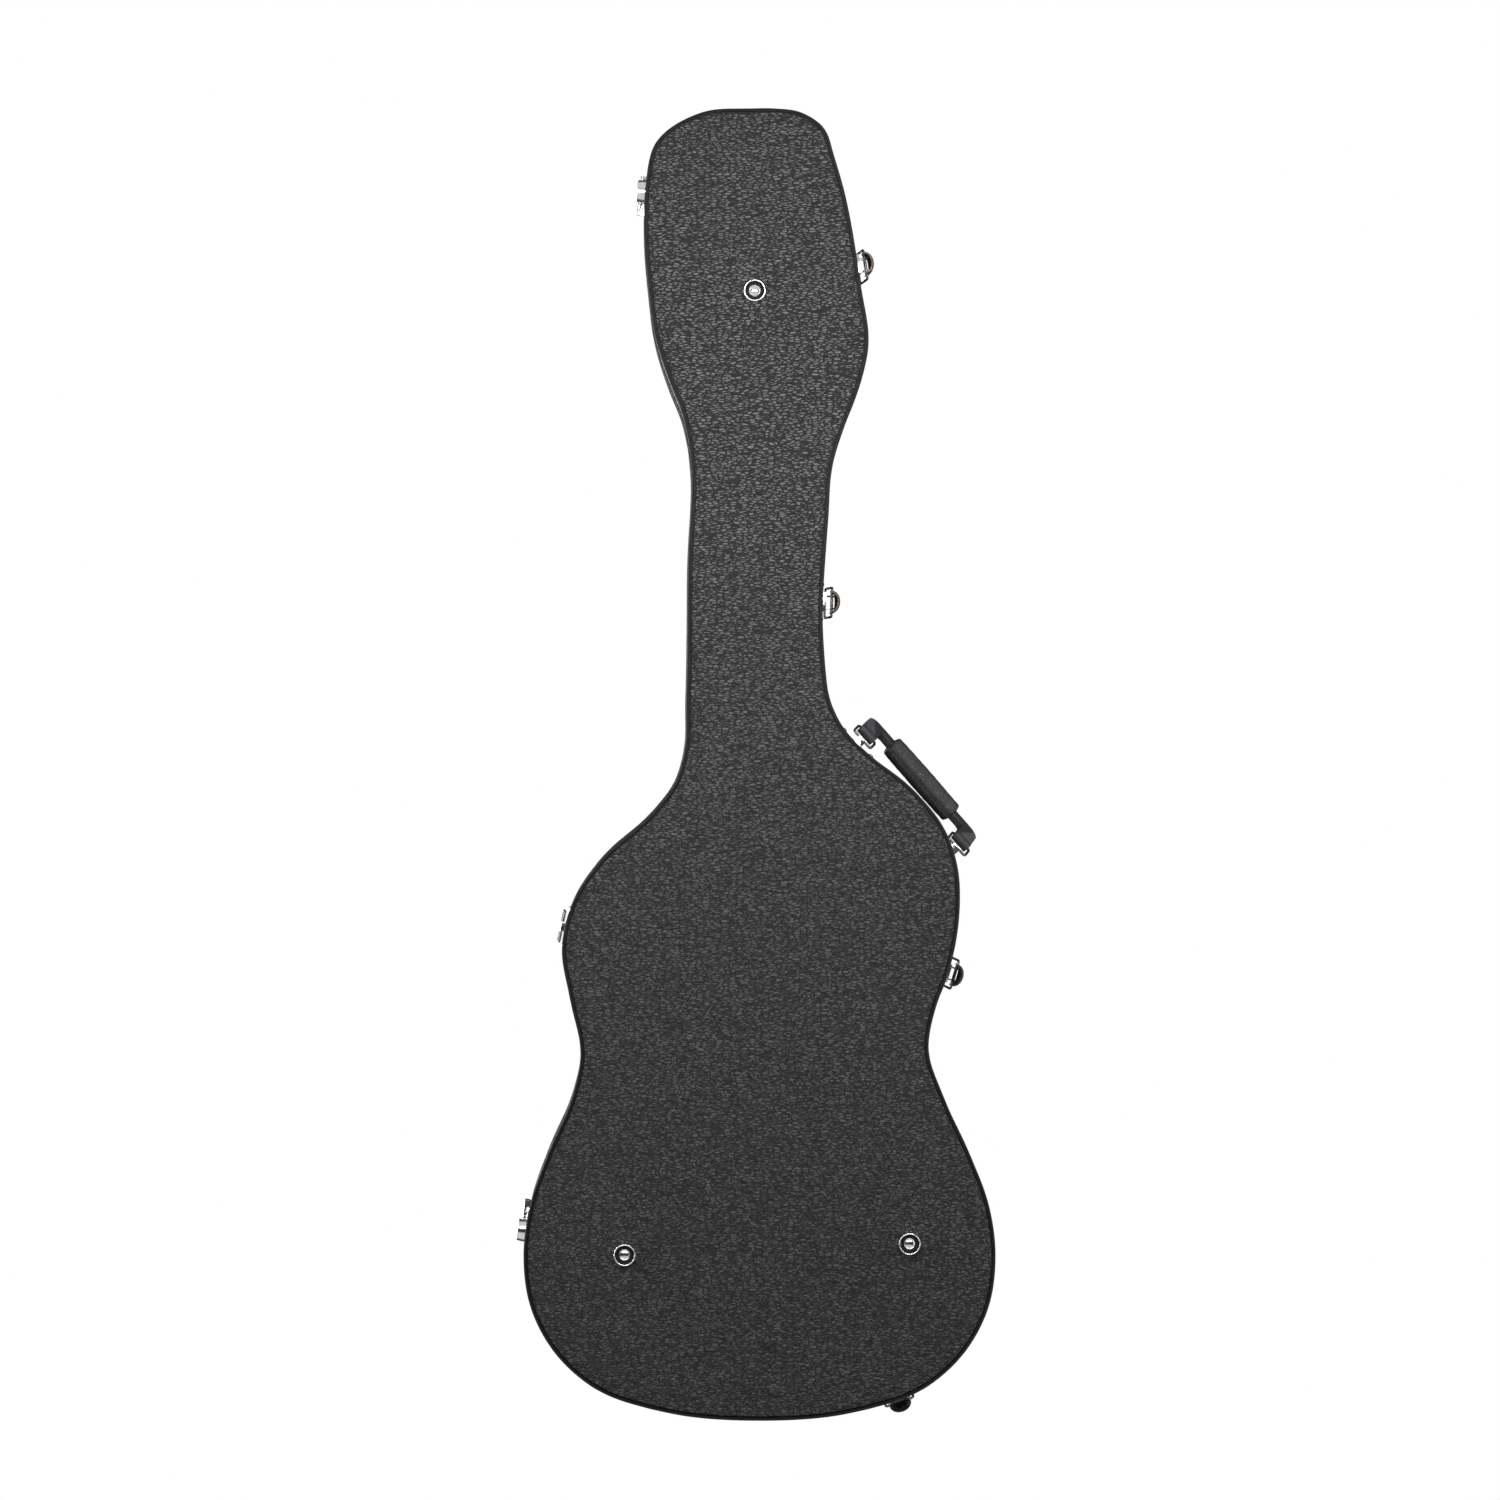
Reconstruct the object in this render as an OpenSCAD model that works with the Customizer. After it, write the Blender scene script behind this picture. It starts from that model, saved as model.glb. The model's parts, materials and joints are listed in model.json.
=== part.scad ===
// Hardshell case for an electric guitar, lying on the three feet of its back.
// X runs from the head end to the bottom end, Y towards the hinge side, Z up from the floor.

/* [Shell] */
// Length over the head end and the bottom end
case_len = 1059; // [1000:1:1120]
// Width over the lower bout
bout_w = 380; // [365:1:400]
// Height of the base shell, from the back face to the seam
base_h = 58; // [56:1:64]
// Height of the lid shell, from the seam to the top face
lid_h = 42; // [42:1:50]
// Thickness of the side walls
wall_t = 6; // [5.5:0.5:6.5]
// Thickness of the back panel and of the lid panel
panel_t = 5; // [4:0.5:6]
// Width of the piping round each face
piping_w = 3.8; // [3.4:0.2:5]
// Height of each valance strip along the seam
valance_h = 7; // [5:0.5:7]

/* [Padding] */
// Thickness of the lining on the floor of the case
lining_t = 6; // [4:0.5:8]
// Distance from the outline to the cavity for the body
cavity_inset = 30; // [26:1:34]
// Distance from the outline to the channel for the neck
neck_inset = 24; // [18:1:24]
// Distance from the outline to the cavity for the headstock
head_inset = 20; // [15:0.5:24]
// Height of the pads above the floor lining
pad_h = 37; // [30:1:38]
// Thickness of the lining under the lid panel
lid_lining_t = 4; // [3:0.5:5]
// Thickness of the pads that press on the instrument
lid_pad_t = 14; // [10:1:18]
// Length of the accessory box
pocket_len = 130; // [100:1:140]
// Width of the accessory box
pocket_w = 52; // [40:1:52]
// Height of the accessory box, without its lid
pocket_h = 21; // [16:1:22]

/* [Hardware] */
// Diameter of the metal feet
foot_d = 18.6; // [16:0.2:20]
// Height of the metal feet
foot_h = 7.5; // [6:0.5:9]
// Length of each hinge
hinge_len = 32; // [28:1:34]
// Width of each latch lever
lever_w = 18.5; // [17:0.5:19]
// Length of each latch lever
lever_len = 23.5; // [20:0.5:24]
// Diameter of the latch wire
latch_wire_d = 2; // [1.8:0.1:2.2]
// Diameter of the wire of the handle rings and the strap ring
ring_wire_d = 2.2; // [2:0.1:2.4]
// Diameter of the handle grip
grip_d = 19.4; // [17:0.2:20]
// Length of the handle grip
grip_len = 78; // [70:1:84]
// Distance from the ring crossbars to the grip's axis
handle_drop = 30; // [28:0.5:32]

/* [Hidden] */
$fn = 48;

// Outline of the back face at its nominal size, clockwise from the head end.
// The bottom of the case is symmetrical, so its second half is the mirror of the first.
bottom_half = [
    [358, 185], [396, 190], [440, 184], [476, 164.5], [504, 133], [522, 82], [530, 1],
];
hinge_edge = [
    [-529, 7], [-526, 46], [-502, 83], [-466, 91.5], [-430, 92.5], [-385, 89], [-345, 83.5], [-312, 73],
    [-284, 62], [-256, 56], [-160, 57], [-50, 58.5], [-10, 60], [16, 68], [40, 86], [78, 127.5],
    [110, 149.5], [148, 159], [190, 152.5], [235, 144], [270, 151], [316, 170.5],
];
latch_edge = [
    [316, -169.5], [270, -148.5], [231, -136], [196, -142], [172, -151], [118, -161], [84, -159.5],
    [56, -150.5], [21, -123.5], [-10, -85], [-28, -68], [-50, -57], [-84, -52], [-200, -55], [-242, -58.5],
    [-276, -69], [-308, -81], [-338, -87.3], [-385, -81.5], [-490, -60], [-514, -51], [-526, -33], [-529, -12],
];
mirrored_half = [for (i = [len(bottom_half) - 2:-1:0]) [bottom_half[i][0], -bottom_half[i][1]]];
nominal_len = 1059;
nominal_w = 380;
raw_outline = [
    for (p = concat(hinge_edge, bottom_half, mirrored_half, latch_edge))
        [p[0] * case_len / nominal_len, p[1] * bout_w / nominal_w]
];
n_points = len(raw_outline);
// Station on the outline where the hinge side ends and the latch side begins
bottom_station = len(hinge_edge) + len(bottom_half) - 1;
steps = 4;

// Point at t between b and c, on the smooth curve through a, b, c and d
function span_point(a, b, c, d, t) =
    let (
        d0 = norm(b - a),
        d1 = norm(c - b),
        d2 = norm(d - c),
        slope_b = ((b - a) / d0 * d1 + (c - b) / d1 * d0) / (d0 + d1),
        slope_c = ((c - b) / d1 * d2 + (d - c) / d2 * d1) / (d1 + d2)
    )
    (2 * t ^ 3 - 3 * t ^ 2 + 1) * b + (t ^ 3 - 2 * t ^ 2 + t) * d1 * slope_b
    + (3 * t ^ 2 - 2 * t ^ 3) * c + (t ^ 3 - t ^ 2) * d1 * slope_c;

// A station is a place on the outline: its whole part names a point, the rest goes on to the next one
function edge_point(station, pts) =
    let (i = floor(station))
    span_point(
        pts[(i + n_points - 1) % n_points],
        pts[i % n_points],
        pts[(i + 1) % n_points],
        pts[(i + 2) % n_points],
        station - i
    );

function edge_angle(station, pts) =
    let (step = edge_point(station + 0.01, pts) - edge_point(station - 0.01, pts))
    atan2(step[1], step[0]);

// Station between low and high where the edge lies at x, found by halving
function station_at(x, low, high, pts, turns = 20) =
    let (mid = (low + high) / 2, rising = edge_point(high, pts)[0] > edge_point(low, pts)[0])
    turns == 0 ? mid
    : (edge_point(mid, pts)[0] < x) == rising ? station_at(x, mid, high, pts, turns - 1)
    : station_at(x, low, mid, pts, turns - 1);

// Station that lies a distance further along the edge, reached in small steps
function further(station, distance, turns = 12) =
    turns == 0 ? station
    : let (speed = norm(edge_point(station + 0.01, outline) - edge_point(station - 0.01, outline)) / 0.02)
      further(station + distance / turns / speed, distance * (turns - 1) / turns, turns - 1);

function hinge_station(x) = station_at(x, 1, bottom_station, raw_outline);
function latch_station(x) = station_at(x, bottom_station + 0.1, n_points - 1, raw_outline);

// Places along the edge, in the nominal outline's own X
hinge_stations = [hinge_station(-467), hinge_station(375)];
side_foot_stations = [hinge_station(-465), hinge_station(379)];
latch_stations = [latch_station(-407.5), latch_station(-132.5), latch_station(170), latch_station(513.5)];
bracket_stations = [latch_station(-15.5), latch_station(69.5)];
strap_ring_station = hinge_station(134);

// The origin stands under the middle of the whole case, side feet and piping included
piping_proud = 0.8;
rear_foot_angle = edge_angle(side_foot_stations[1], raw_outline);
rear_foot_y = edge_point(side_foot_stations[1], raw_outline)[1]
    + foot_h * cos(rear_foot_angle) + (foot_d / 2 - 0.8) * sin(rear_foot_angle);
fine_outline = [for (i = [0:n_points - 1], j = [0:steps - 1]) edge_point(i + j / steps, raw_outline)];
low_x = min([for (p = fine_outline) p[0]]) - piping_proud;
high_x = max([for (p = fine_outline) p[0]]) + piping_proud;
low_y = min([for (p = fine_outline) p[1]]) - piping_proud;
middle = [(low_x + high_x) / 2, (low_y + rear_foot_y) / 2];
outline = [for (p = raw_outline) p - middle];
edge_loop = [for (p = fine_outline) p - middle];

// Levels above the floor
back_z = foot_h;
floor_z = back_z + panel_t;
seam_z = back_z + base_h;
seam_gap = 0.4;
lid_z = seam_z + seam_gap;
top_z = seam_z + lid_h;
ceiling_z = top_z - panel_t;
pad_z = floor_z + lining_t;
lid_pad_z = ceiling_z - lid_lining_t;
soft_gap = 0.3;

// Inner lip that keys the lid to the base
lip_t = 3;
lip_h = 7;
lip_depth = 8;
lip_gap = 0.7;

// Where the padding changes along the case
head_end_x = -262 - middle[0];
neck_end_x = -6 - middle[0];
pocket_mid = [-125 - middle[0], 0];
pocket_wall = 3;
pocket_lid_t = 4;
pocket_hinge_z = pad_z + pocket_h + soft_gap + pocket_lid_t / 2;
cradle_len = 26;
body_pad_gap = 90;

// Feet
foot_rim = 2;
foot_recess = 3.6;
foot_places = [[-382, 4] - middle, [396, 109] - middle, [387, -121] - middle];
side_foot_z = back_z + 25;
screw_head_d = 9;
screw_head_h = 2.4;
screw_d = 3.9;

// Hinges
knuckle_d = 5.6;
hinge_pin_d = 2.6;
hinge_out = 3.9;
leaf_t = 1.4;
leaf_h = 16;
knuckle_gap = 0.3;
barrel_third = hinge_len / 3;
hinge_ends = [
    for (s = hinge_stations)
        let (a = edge_angle(s, outline)) edge_point(s, outline) + hinge_out * [-sin(a), cos(a)]
];
hinge_angle = atan2(hinge_ends[1][1] - hinge_ends[0][1], hinge_ends[1][0] - hinge_ends[0][0]);

// Latches, in the latch's own frame: X along the wall, Y out of the wall, Z up from the seam
flange = [34, 24, 1];
housing = [15, 17, 3.4];
housing_top = -14;
plate_top = -8;
lever_pin = [9.6, -12];
lever_pin_d = 2.4;
loop_pin = [9.6, -18];
loop_bar = [4.9, 11];
loop_w = 24;
lever_back = 8;
lever_dome = 8;
lever_top = lever_pin[1] + 2.4;
lever_skin = 1.1;
keeper = [26, 13, 1.2];
keeper_z = 8;
keeper_lip = 3.4;

// Handle and rings. The handle's frame has X along the grip and -Y out of the case.
handle_mid = [19.8, -128.4] - middle;
handle_angle = -41.3;
ring_pivot_z = seam_z - 15.5;
ring_spacing = 117;
ring_w = 20;
ring_len = 14;
ring_out = 6.4;
ring_rise = sqrt(ring_len ^ 2 - ring_out ^ 2);
handle_tilt = 20;
strap_t = 6.4;
strap_w = 16;
bridge_w = 11;
roll_d = 8.6;
running_gap = 0.08;
bracket_len = 38;
bracket_h = 14;
bracket_t = 1.2;
knuckle_w = 8;
strap_ring_w = 25;
strap_ring_len = 16;
strap_ring_out = 3.6;
strap_ring_tilt = 5;

// Rivets
rivet_d = 5.4;
rivet_h = 1.8;

vinyl = "#232325";
plush = "#3a3a3e";
chrome = "#d9dadc";

// ---- Helpers ----

module case_outline(inset = 0) {
    offset(delta = -inset)
        polygon(edge_loop);
}

module slab(inset, low, high) {
    translate([0, 0, low])
        linear_extrude(high - low)
            case_outline(inset);
}

// Wall that follows the outline between two insets, from one level to the other in either order
module rim(outer, inner, from_z, to_z) {
    translate([0, 0, min(from_z, to_z)])
        linear_extrude(abs(to_z - from_z))
            difference() {
                case_outline(outer);
                case_outline(inner);
            }
}

// Everything between two distances along the case
module stretch(from_x, to_x) {
    translate([from_x, -bout_w, 0])
        cube([to_x - from_x, 2 * bout_w, 2 * top_z]);
}

// Frame on the side wall: X along the wall, Y straight out of it, Z up
module on_wall(station, z = 0) {
    place = edge_point(station, outline);
    translate([place[0], place[1], z])
        rotate([0, 0, edge_angle(station, outline)])
            children();
}

module on_hinge(i) {
    translate([hinge_ends[i][0], hinge_ends[i][1], seam_z])
        rotate([0, 0, hinge_angle])
            children();
}

// Frame of the ring pivots: X along the grip, -Y out of the case
module on_handle() {
    translate([handle_mid[0], handle_mid[1], 0])
        rotate([0, 0, handle_angle])
            translate([0, ring_out, ring_pivot_z])
                children();
}

// Frame of the ring crossbars, with Z towards the grip
module on_crossbar() {
    on_handle()
        translate([0, -ring_out, ring_rise])
            rotate([handle_tilt, 0, 0])
                children();
}

module across(d, w) {
    rotate([0, 90, 0])
        cylinder(d = d, h = w, center = true);
}

// Plate that hugs the wall around a station
module wall_plate(station, w, low, high, thick) {
    intersection() {
        rim(-thick, 0, low, high);
        on_wall(station)
            translate([-w / 2, -wall_t, 0])
                cube([w, 2 * wall_t, 2 * top_z]);
    }
}

// Takes away what would reach into the case
module outside_only() {
    difference() {
        children();
        slab(0, 0, top_z);
    }
}

// Closed rectangular wire ring, with one bar on the X axis and the other at [0, out, up]
module wire_ring(w, out, up, d) {
    leg_d = d - 0.3;
    across(d, w + d);
    translate([0, out, up])
        across(d, w + d);
    for (side = [-1, 1])
        translate([side * w / 2, 0, 0])
            rotate([-atan2(out, up), 0, 0])
                cylinder(d = leg_d, h = norm([out, up]));
}

module dome(d, h) {
    ball_r = (d ^ 2 / 4 + h ^ 2) / (2 * h);
    intersection() {
        translate([0, 0, h - ball_r])
            sphere(ball_r);
        cylinder(d = 2 * d, h = h);
    }
}

module rivet() {
    dome(rivet_d, rivet_h);
}

module wall_rivet(station, along, z, out) {
    on_wall(station, z)
        translate([along, out, 0])
            rotate([-90, 0, 0])
                rivet();
}

// ---- Base shell ----

module back_panel() {
    color(vinyl)
        difference() {
            slab(piping_w, back_z, floor_z);
            under_back()
                screw_bore();
        }
}

// Strip round a face. Inward is 1 where the case lies above the face and -1 where it lies below.
module piping(face_z, inward) {
    bevel = 1.2;
    bead_h = 2;
    edge_z = face_z - inward;
    shoulder_z = edge_z + inward * bead_h;
    rim(-piping_proud + bevel, piping_w - bevel, edge_z, shoulder_z);
    rim(-piping_proud, piping_w, shoulder_z, face_z + inward * panel_t);
}

module back_piping() {
    color("#161617")
        piping(back_z, 1);
}

module base_wall() {
    color(vinyl)
        difference() {
            rim(0, wall_t, floor_z, seam_z);
            on_hinge_side()
                screw_bore();
        }
}

// The valance strips leave room for the hinges
module valance(low, high) {
    difference() {
        rim(-1, 0, low, high);
        for (i = [0, 1])
            on_hinge(i)
                cube([hinge_len + 2, 6 * hinge_out, 3 * valance_h], center = true);
    }
}

module base_valance() {
    color("#161617")
        valance(seam_z - valance_h, seam_z);
}

module inner_lip() {
    color("#2b2b2d") {
        rim(wall_t, wall_t + lip_gap + lip_t, seam_z - lip_depth, seam_z);
        rim(wall_t + lip_gap, wall_t + lip_gap + lip_t, seam_z, seam_z + lip_h);
    }
}

// ---- Padding in the base ----

module base_lining() {
    color(plush)
        slab(wall_t + soft_gap, floor_z, pad_z);
}

module body_surround() {
    color(plush)
        intersection() {
            rim(wall_t + soft_gap, cavity_inset, pad_z, pad_z + pad_h);
            stretch(neck_end_x, case_len);
        }
}

module neck_pads() {
    color(plush)
        intersection() {
            rim(wall_t + soft_gap, neck_inset, pad_z, pad_z + pad_h);
            stretch(head_end_x, neck_end_x - soft_gap);
        }
}

module head_surround() {
    color(plush)
        intersection() {
            rim(wall_t + soft_gap, head_inset, pad_z, pad_z + pad_h);
            stretch(-case_len, head_end_x - soft_gap);
        }
}

// Block across the neck channel, with a round notch for the neck
module neck_cradle() {
    notch_r = 30;
    notch_depth = 8;
    block_h = pocket_h + 6;
    color(plush)
        difference() {
            intersection() {
                slab(neck_inset + soft_gap, pad_z, pad_z + block_h);
                stretch(head_end_x, head_end_x + cradle_len);
            }
            translate([head_end_x, pocket_mid[1], pad_z + block_h + notch_r - notch_depth])
                across(2 * notch_r, 4 * cradle_len);
        }
}

module accessory_box() {
    color(plush)
        translate([pocket_mid[0] - pocket_len / 2, pocket_mid[1] - pocket_w / 2, pad_z])
            difference() {
                cube([pocket_len, pocket_w, pocket_h]);
                translate([pocket_wall, pocket_wall, pocket_wall])
                    cube([pocket_len - 2 * pocket_wall, pocket_w - 2 * pocket_wall, pocket_h]);
            }
}

// Its long edge on the hinge side is rounded, and turns in place
module accessory_lid() {
    bulge = 0.3;
    color(plush)
        translate([pocket_mid[0], pocket_mid[1] + pocket_w / 2 - pocket_lid_t / 2, pocket_hinge_z]) {
            across(pocket_lid_t + bulge, pocket_len);
            translate([-pocket_len / 2, pocket_lid_t / 2 - pocket_w, -pocket_lid_t / 2])
                cube([pocket_len, pocket_w - pocket_lid_t / 2, pocket_lid_t]);
        }
}

// Ribbon tab that lifts the accessory lid
module accessory_pull() {
    tab = [14, 1.2, 10];
    color("#18181a")
        translate([
            pocket_mid[0] - tab[0] / 2,
            pocket_mid[1] - pocket_w / 2 + 4,
            pocket_hinge_z + pocket_lid_t / 2
        ])
            cube(tab);
}

// ---- Feet ----

// Cup-shaped foot that stands on the XY plane
module cup_foot() {
    difference() {
        union() {
            cylinder(d = foot_d, h = foot_h * 0.3);
            translate([0, 0, foot_h * 0.3])
                cylinder(d1 = foot_d, d2 = foot_d - 1.6, h = foot_h * 0.7);
        }
        translate([0, 0, foot_h - foot_recess])
            cylinder(d = foot_d - 1.6 - 2 * foot_rim, h = 2 * foot_recess);
        translate([0, 0, -1])
            cylinder(d = screw_d + 2 * running_gap, h = 2 * foot_h);
    }
}

module foot_screw() {
    bite = 3;
    translate([0, 0, foot_h - foot_recess])
        dome(screw_head_d, screw_head_h);
    translate([0, 0, -bite])
        cylinder(d = screw_d, h = foot_h - foot_recess + bite);
}

// Hole that a foot's screw takes in the board behind it
module screw_bore() {
    translate([0, 0, -2 * wall_t])
        cylinder(d = screw_d + 2 * running_gap, h = 3 * wall_t);
}

module under_back() {
    for (place = foot_places)
        translate([place[0], place[1], back_z])
            rotate([180, 0, 0])
                children();
}

module on_hinge_side() {
    for (s = side_foot_stations)
        on_wall(s, side_foot_z)
            rotate([-90, 0, 0])
                children();
}

module back_feet() {
    color(chrome)
        under_back()
            cup_foot();
}

module back_foot_screws() {
    color(chrome)
        under_back()
            foot_screw();
}

module side_feet() {
    color(chrome)
        outside_only()
            on_hinge_side()
                cup_foot();
}

module side_foot_screws() {
    color(chrome)
        on_hinge_side()
            foot_screw();
}

// ---- Hinges ----

// One barrel piece of the knuckle, joined to the leaf above (1) or below (-1) the pin
module knuckle(from_x, to_x, above) {
    translate([(from_x + to_x) / 2, 0, 0])
        difference() {
            union() {
                across(knuckle_d, to_x - from_x);
                translate([0, -hinge_out / 2, above * knuckle_d * 0.33])
                    cube([to_x - from_x, hinge_out, knuckle_d * 0.34], center = true);
            }
            across(hinge_pin_d + 2 * running_gap, hinge_len);
        }
}

module knuckle_room(from_x, to_x) {
    translate([(from_x + to_x) / 2, 0, 0])
        across(knuckle_d + 2 * knuckle_gap, to_x - from_x);
}

module hinge_base_leaves() {
    color(chrome)
        for (i = [0, 1])
            outside_only() {
                difference() {
                    wall_plate(hinge_stations[i], hinge_len, seam_z - leaf_h, seam_z, leaf_t);
                    on_hinge(i)
                        knuckle_room(-barrel_third / 2 - knuckle_gap, barrel_third / 2 + knuckle_gap);
                }
                on_hinge(i)
                    for (side = [-1, 1])
                        knuckle(
                            side * hinge_len / 2 - (side + 1) / 2 * (barrel_third - knuckle_gap),
                            side * hinge_len / 2 - (side - 1) / 2 * (barrel_third - knuckle_gap),
                            -1
                        );
            }
}

module hinge_lid_leaves() {
    color(chrome)
        for (i = [0, 1])
            outside_only() {
                difference() {
                    wall_plate(hinge_stations[i], hinge_len, lid_z, seam_z + leaf_h, leaf_t);
                    on_hinge(i)
                        for (side = [-1, 1])
                            knuckle_room(
                                side * barrel_third - barrel_third / 2,
                                side * barrel_third + barrel_third / 2
                            );
                }
                on_hinge(i)
                    knuckle(-barrel_third / 2, barrel_third / 2, 1);
            }
}

module hinge_pins() {
    color(chrome)
        for (i = [0, 1])
            on_hinge(i)
                across(hinge_pin_d, hinge_len);
}

// ---- Latches ----

// Half ellipse on its chord, as a polygon
module half_ellipse(half_w, h) {
    polygon([for (a = [0:15:180]) [half_w * cos(a), h * sin(a)]]);
}

// Long section of a lever, seen from its side, with Y out of the wall and Z up
module lever_side(back, dome_h) {
    foot_z = lever_top - lever_len;
    rotate([90, 0, 90])
        linear_extrude(lever_w + 2, center = true)
            polygon([
                [back, lever_top + 1],
                [back + dome_h * 0.6, lever_top + 1],
                [back + dome_h * 0.8, lever_top - lever_len * 0.2],
                [back + dome_h, lever_top - lever_len * 0.45],
                [back + dome_h, lever_top - lever_len * 0.7],
                [back + dome_h * 0.85, foot_z - 1],
                [back, foot_z - 1],
            ]);
}

module latch_plate(i) {
    ear_x = 5;
    ear_t = 1.2;
    ear_d = 4.2;
    color(chrome)
        outside_only()
            on_wall(latch_stations[i], seam_z)
                difference() {
                    union() {
                        translate([-flange[0] / 2, -1, plate_top - flange[1]])
                            cube([flange[0], 1 + flange[2], flange[1]]);
                        translate([-housing[0] / 2, 0, housing_top - housing[1]])
                            cube([housing[0], flange[2] + housing[2], housing[1]]);
                        // The ears leave room above the pin for the lever's upper edge as it swings in
                        for (side = [-1, 1])
                            translate([side * ear_x, lever_pin[0], lever_pin[1]]) {
                                across(ear_d, ear_t);
                                translate([-ear_t / 2, -lever_pin[0], -ear_d])
                                    cube([ear_t, lever_pin[0], ear_d - 0.5]);
                            }
                    }
                    translate([0, lever_pin[0], lever_pin[1]])
                        across(lever_pin_d, lever_w);
                }
}

module latch_pins() {
    color(chrome)
        for (s = latch_stations)
            on_wall(s, seam_z)
                translate([0, lever_pin[0], lever_pin[1]])
                    across(lever_pin_d, lever_w + 0.6);
}

module latch_lever(i) {
    foot_z = lever_top - lever_len;
    color(chrome)
        on_wall(latch_stations[i], seam_z)
            difference() {
                intersection() {
                    translate([0, lever_back, foot_z])
                        linear_extrude(lever_len)
                            half_ellipse(lever_w / 2, lever_dome);
                    lever_side(lever_back, lever_dome);
                }
                intersection() {
                    translate([0, lever_back, foot_z - 1])
                        linear_extrude(lever_len + 2)
                            union() {
                                half_ellipse(lever_w / 2 - lever_skin, lever_dome - lever_skin);
                                translate([lever_skin - lever_w / 2, -1])
                                    square([lever_w - 2 * lever_skin, 1.01]);
                            }
                    lever_side(lever_back - 1, lever_dome + 1 - lever_skin);
                }
                translate([0, lever_pin[0], lever_pin[1]])
                    across(lever_pin_d + 2 * running_gap, 2 * lever_w);
                translate([0, loop_pin[0], loop_pin[1]])
                    across(latch_wire_d + 2 * running_gap, 2 * lever_w);
            }
}

// Wire loop that hangs on the lever and reaches up to the keeper on the lid
module latch_loop(i) {
    color(chrome)
        on_wall(latch_stations[i], seam_z)
            translate([0, loop_pin[0], loop_pin[1]])
                wire_ring(loop_w, loop_bar[0] - loop_pin[0], loop_bar[1] - loop_pin[1], latch_wire_d);
}

module latch_keeper(i) {
    lip_w = 18;
    lip_z = 2.4;
    color(chrome)
        outside_only()
            on_wall(latch_stations[i], seam_z) {
                translate([-keeper[0] / 2, -1, keeper_z])
                    cube([keeper[0], 1 + keeper[2], keeper[1]]);
                translate([-lip_w / 2, 0, loop_bar[1] - lip_z / 2])
                    cube([lip_w, keeper_lip, lip_z]);
            }
}

// ---- Handle and rings ----

// Sleeve round a ring's lower bar, with a web that reaches the wall
module pivot_sleeve(w, reach) {
    sleeve_d = ring_wire_d + 1.9;
    difference() {
        union() {
            across(sleeve_d, w);
            translate([-w / 2, 0, -sleeve_d / 2])
                cube([w, reach, sleeve_d]);
        }
        across(ring_wire_d + 2 * running_gap, 2 * w);
    }
}

module handle_bracket(i) {
    color(chrome)
        outside_only() {
            wall_plate(
                bracket_stations[i], bracket_len,
                ring_pivot_z - bracket_h / 2, ring_pivot_z + bracket_h / 2, bracket_t
            );
            on_handle()
                translate([(i - 0.5) * ring_spacing, 0, 0])
                    pivot_sleeve(knuckle_w, 3 * wall_t);
        }
}

module handle_ring(i) {
    color(chrome)
        on_handle()
            translate([(i - 0.5) * ring_spacing, 0, 0])
                wire_ring(ring_w, -ring_out, ring_rise, ring_wire_d);
}

// Upright block from below the crossbars to a height above them, with rounded upper corners
module arch(w, h, corner) {
    offset(r = corner, $fn = 32)
        offset(delta = -corner)
            translate([-w / 2, -3 * corner])
                square([w, h + 3 * corner]);
}

// Flat outline of the strap: a bridge through the grip with a leg to each crossbar
module strap_shape() {
    span = ring_spacing + strap_w;
    difference() {
        arch(span, handle_drop + bridge_w / 2, 10);
        arch(span - 2 * strap_w, handle_drop - bridge_w / 2, 4);
        translate([-span, -2 * handle_drop])
            square([2 * span, 2 * handle_drop]);
    }
}

module handle_strap() {
    color("#2c2b2e")
        on_crossbar()
            difference() {
                union() {
                    rotate([90, 0, 0])
                        linear_extrude(strap_t, center = true)
                            strap_shape();
                    for (side = [-1, 1])
                        translate([side * ring_spacing / 2, 0, 0])
                            across(roll_d, strap_w);
                }
                across(ring_wire_d + 2 * running_gap, 2 * ring_spacing);
            }
}

module handle_grip() {
    color("#1c1c1e")
        on_crossbar()
            translate([0, 0, handle_drop])
                difference() {
                    across(grip_d, grip_len);
                    cube([2 * grip_len, strap_t + 2 * running_gap, bridge_w + 2 * running_gap], center = true);
                }
}

module strap_ring_bracket() {
    color(chrome)
        outside_only() {
            wall_plate(
                strap_ring_station, bracket_len,
                ring_pivot_z - bracket_h / 2, ring_pivot_z + bracket_h / 2, bracket_t
            );
            on_wall(strap_ring_station, ring_pivot_z)
                translate([0, strap_ring_out, 0])
                    rotate([0, 0, 180])
                        pivot_sleeve(knuckle_w, 2 * wall_t);
        }
}

module strap_ring() {
    color(chrome)
        on_wall(strap_ring_station, ring_pivot_z)
            translate([0, strap_ring_out, 0])
                wire_ring(
                    strap_ring_w,
                    strap_ring_len * sin(strap_ring_tilt),
                    strap_ring_len * cos(strap_ring_tilt),
                    ring_wire_d
                );
}

// ---- Rivets ----

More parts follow.
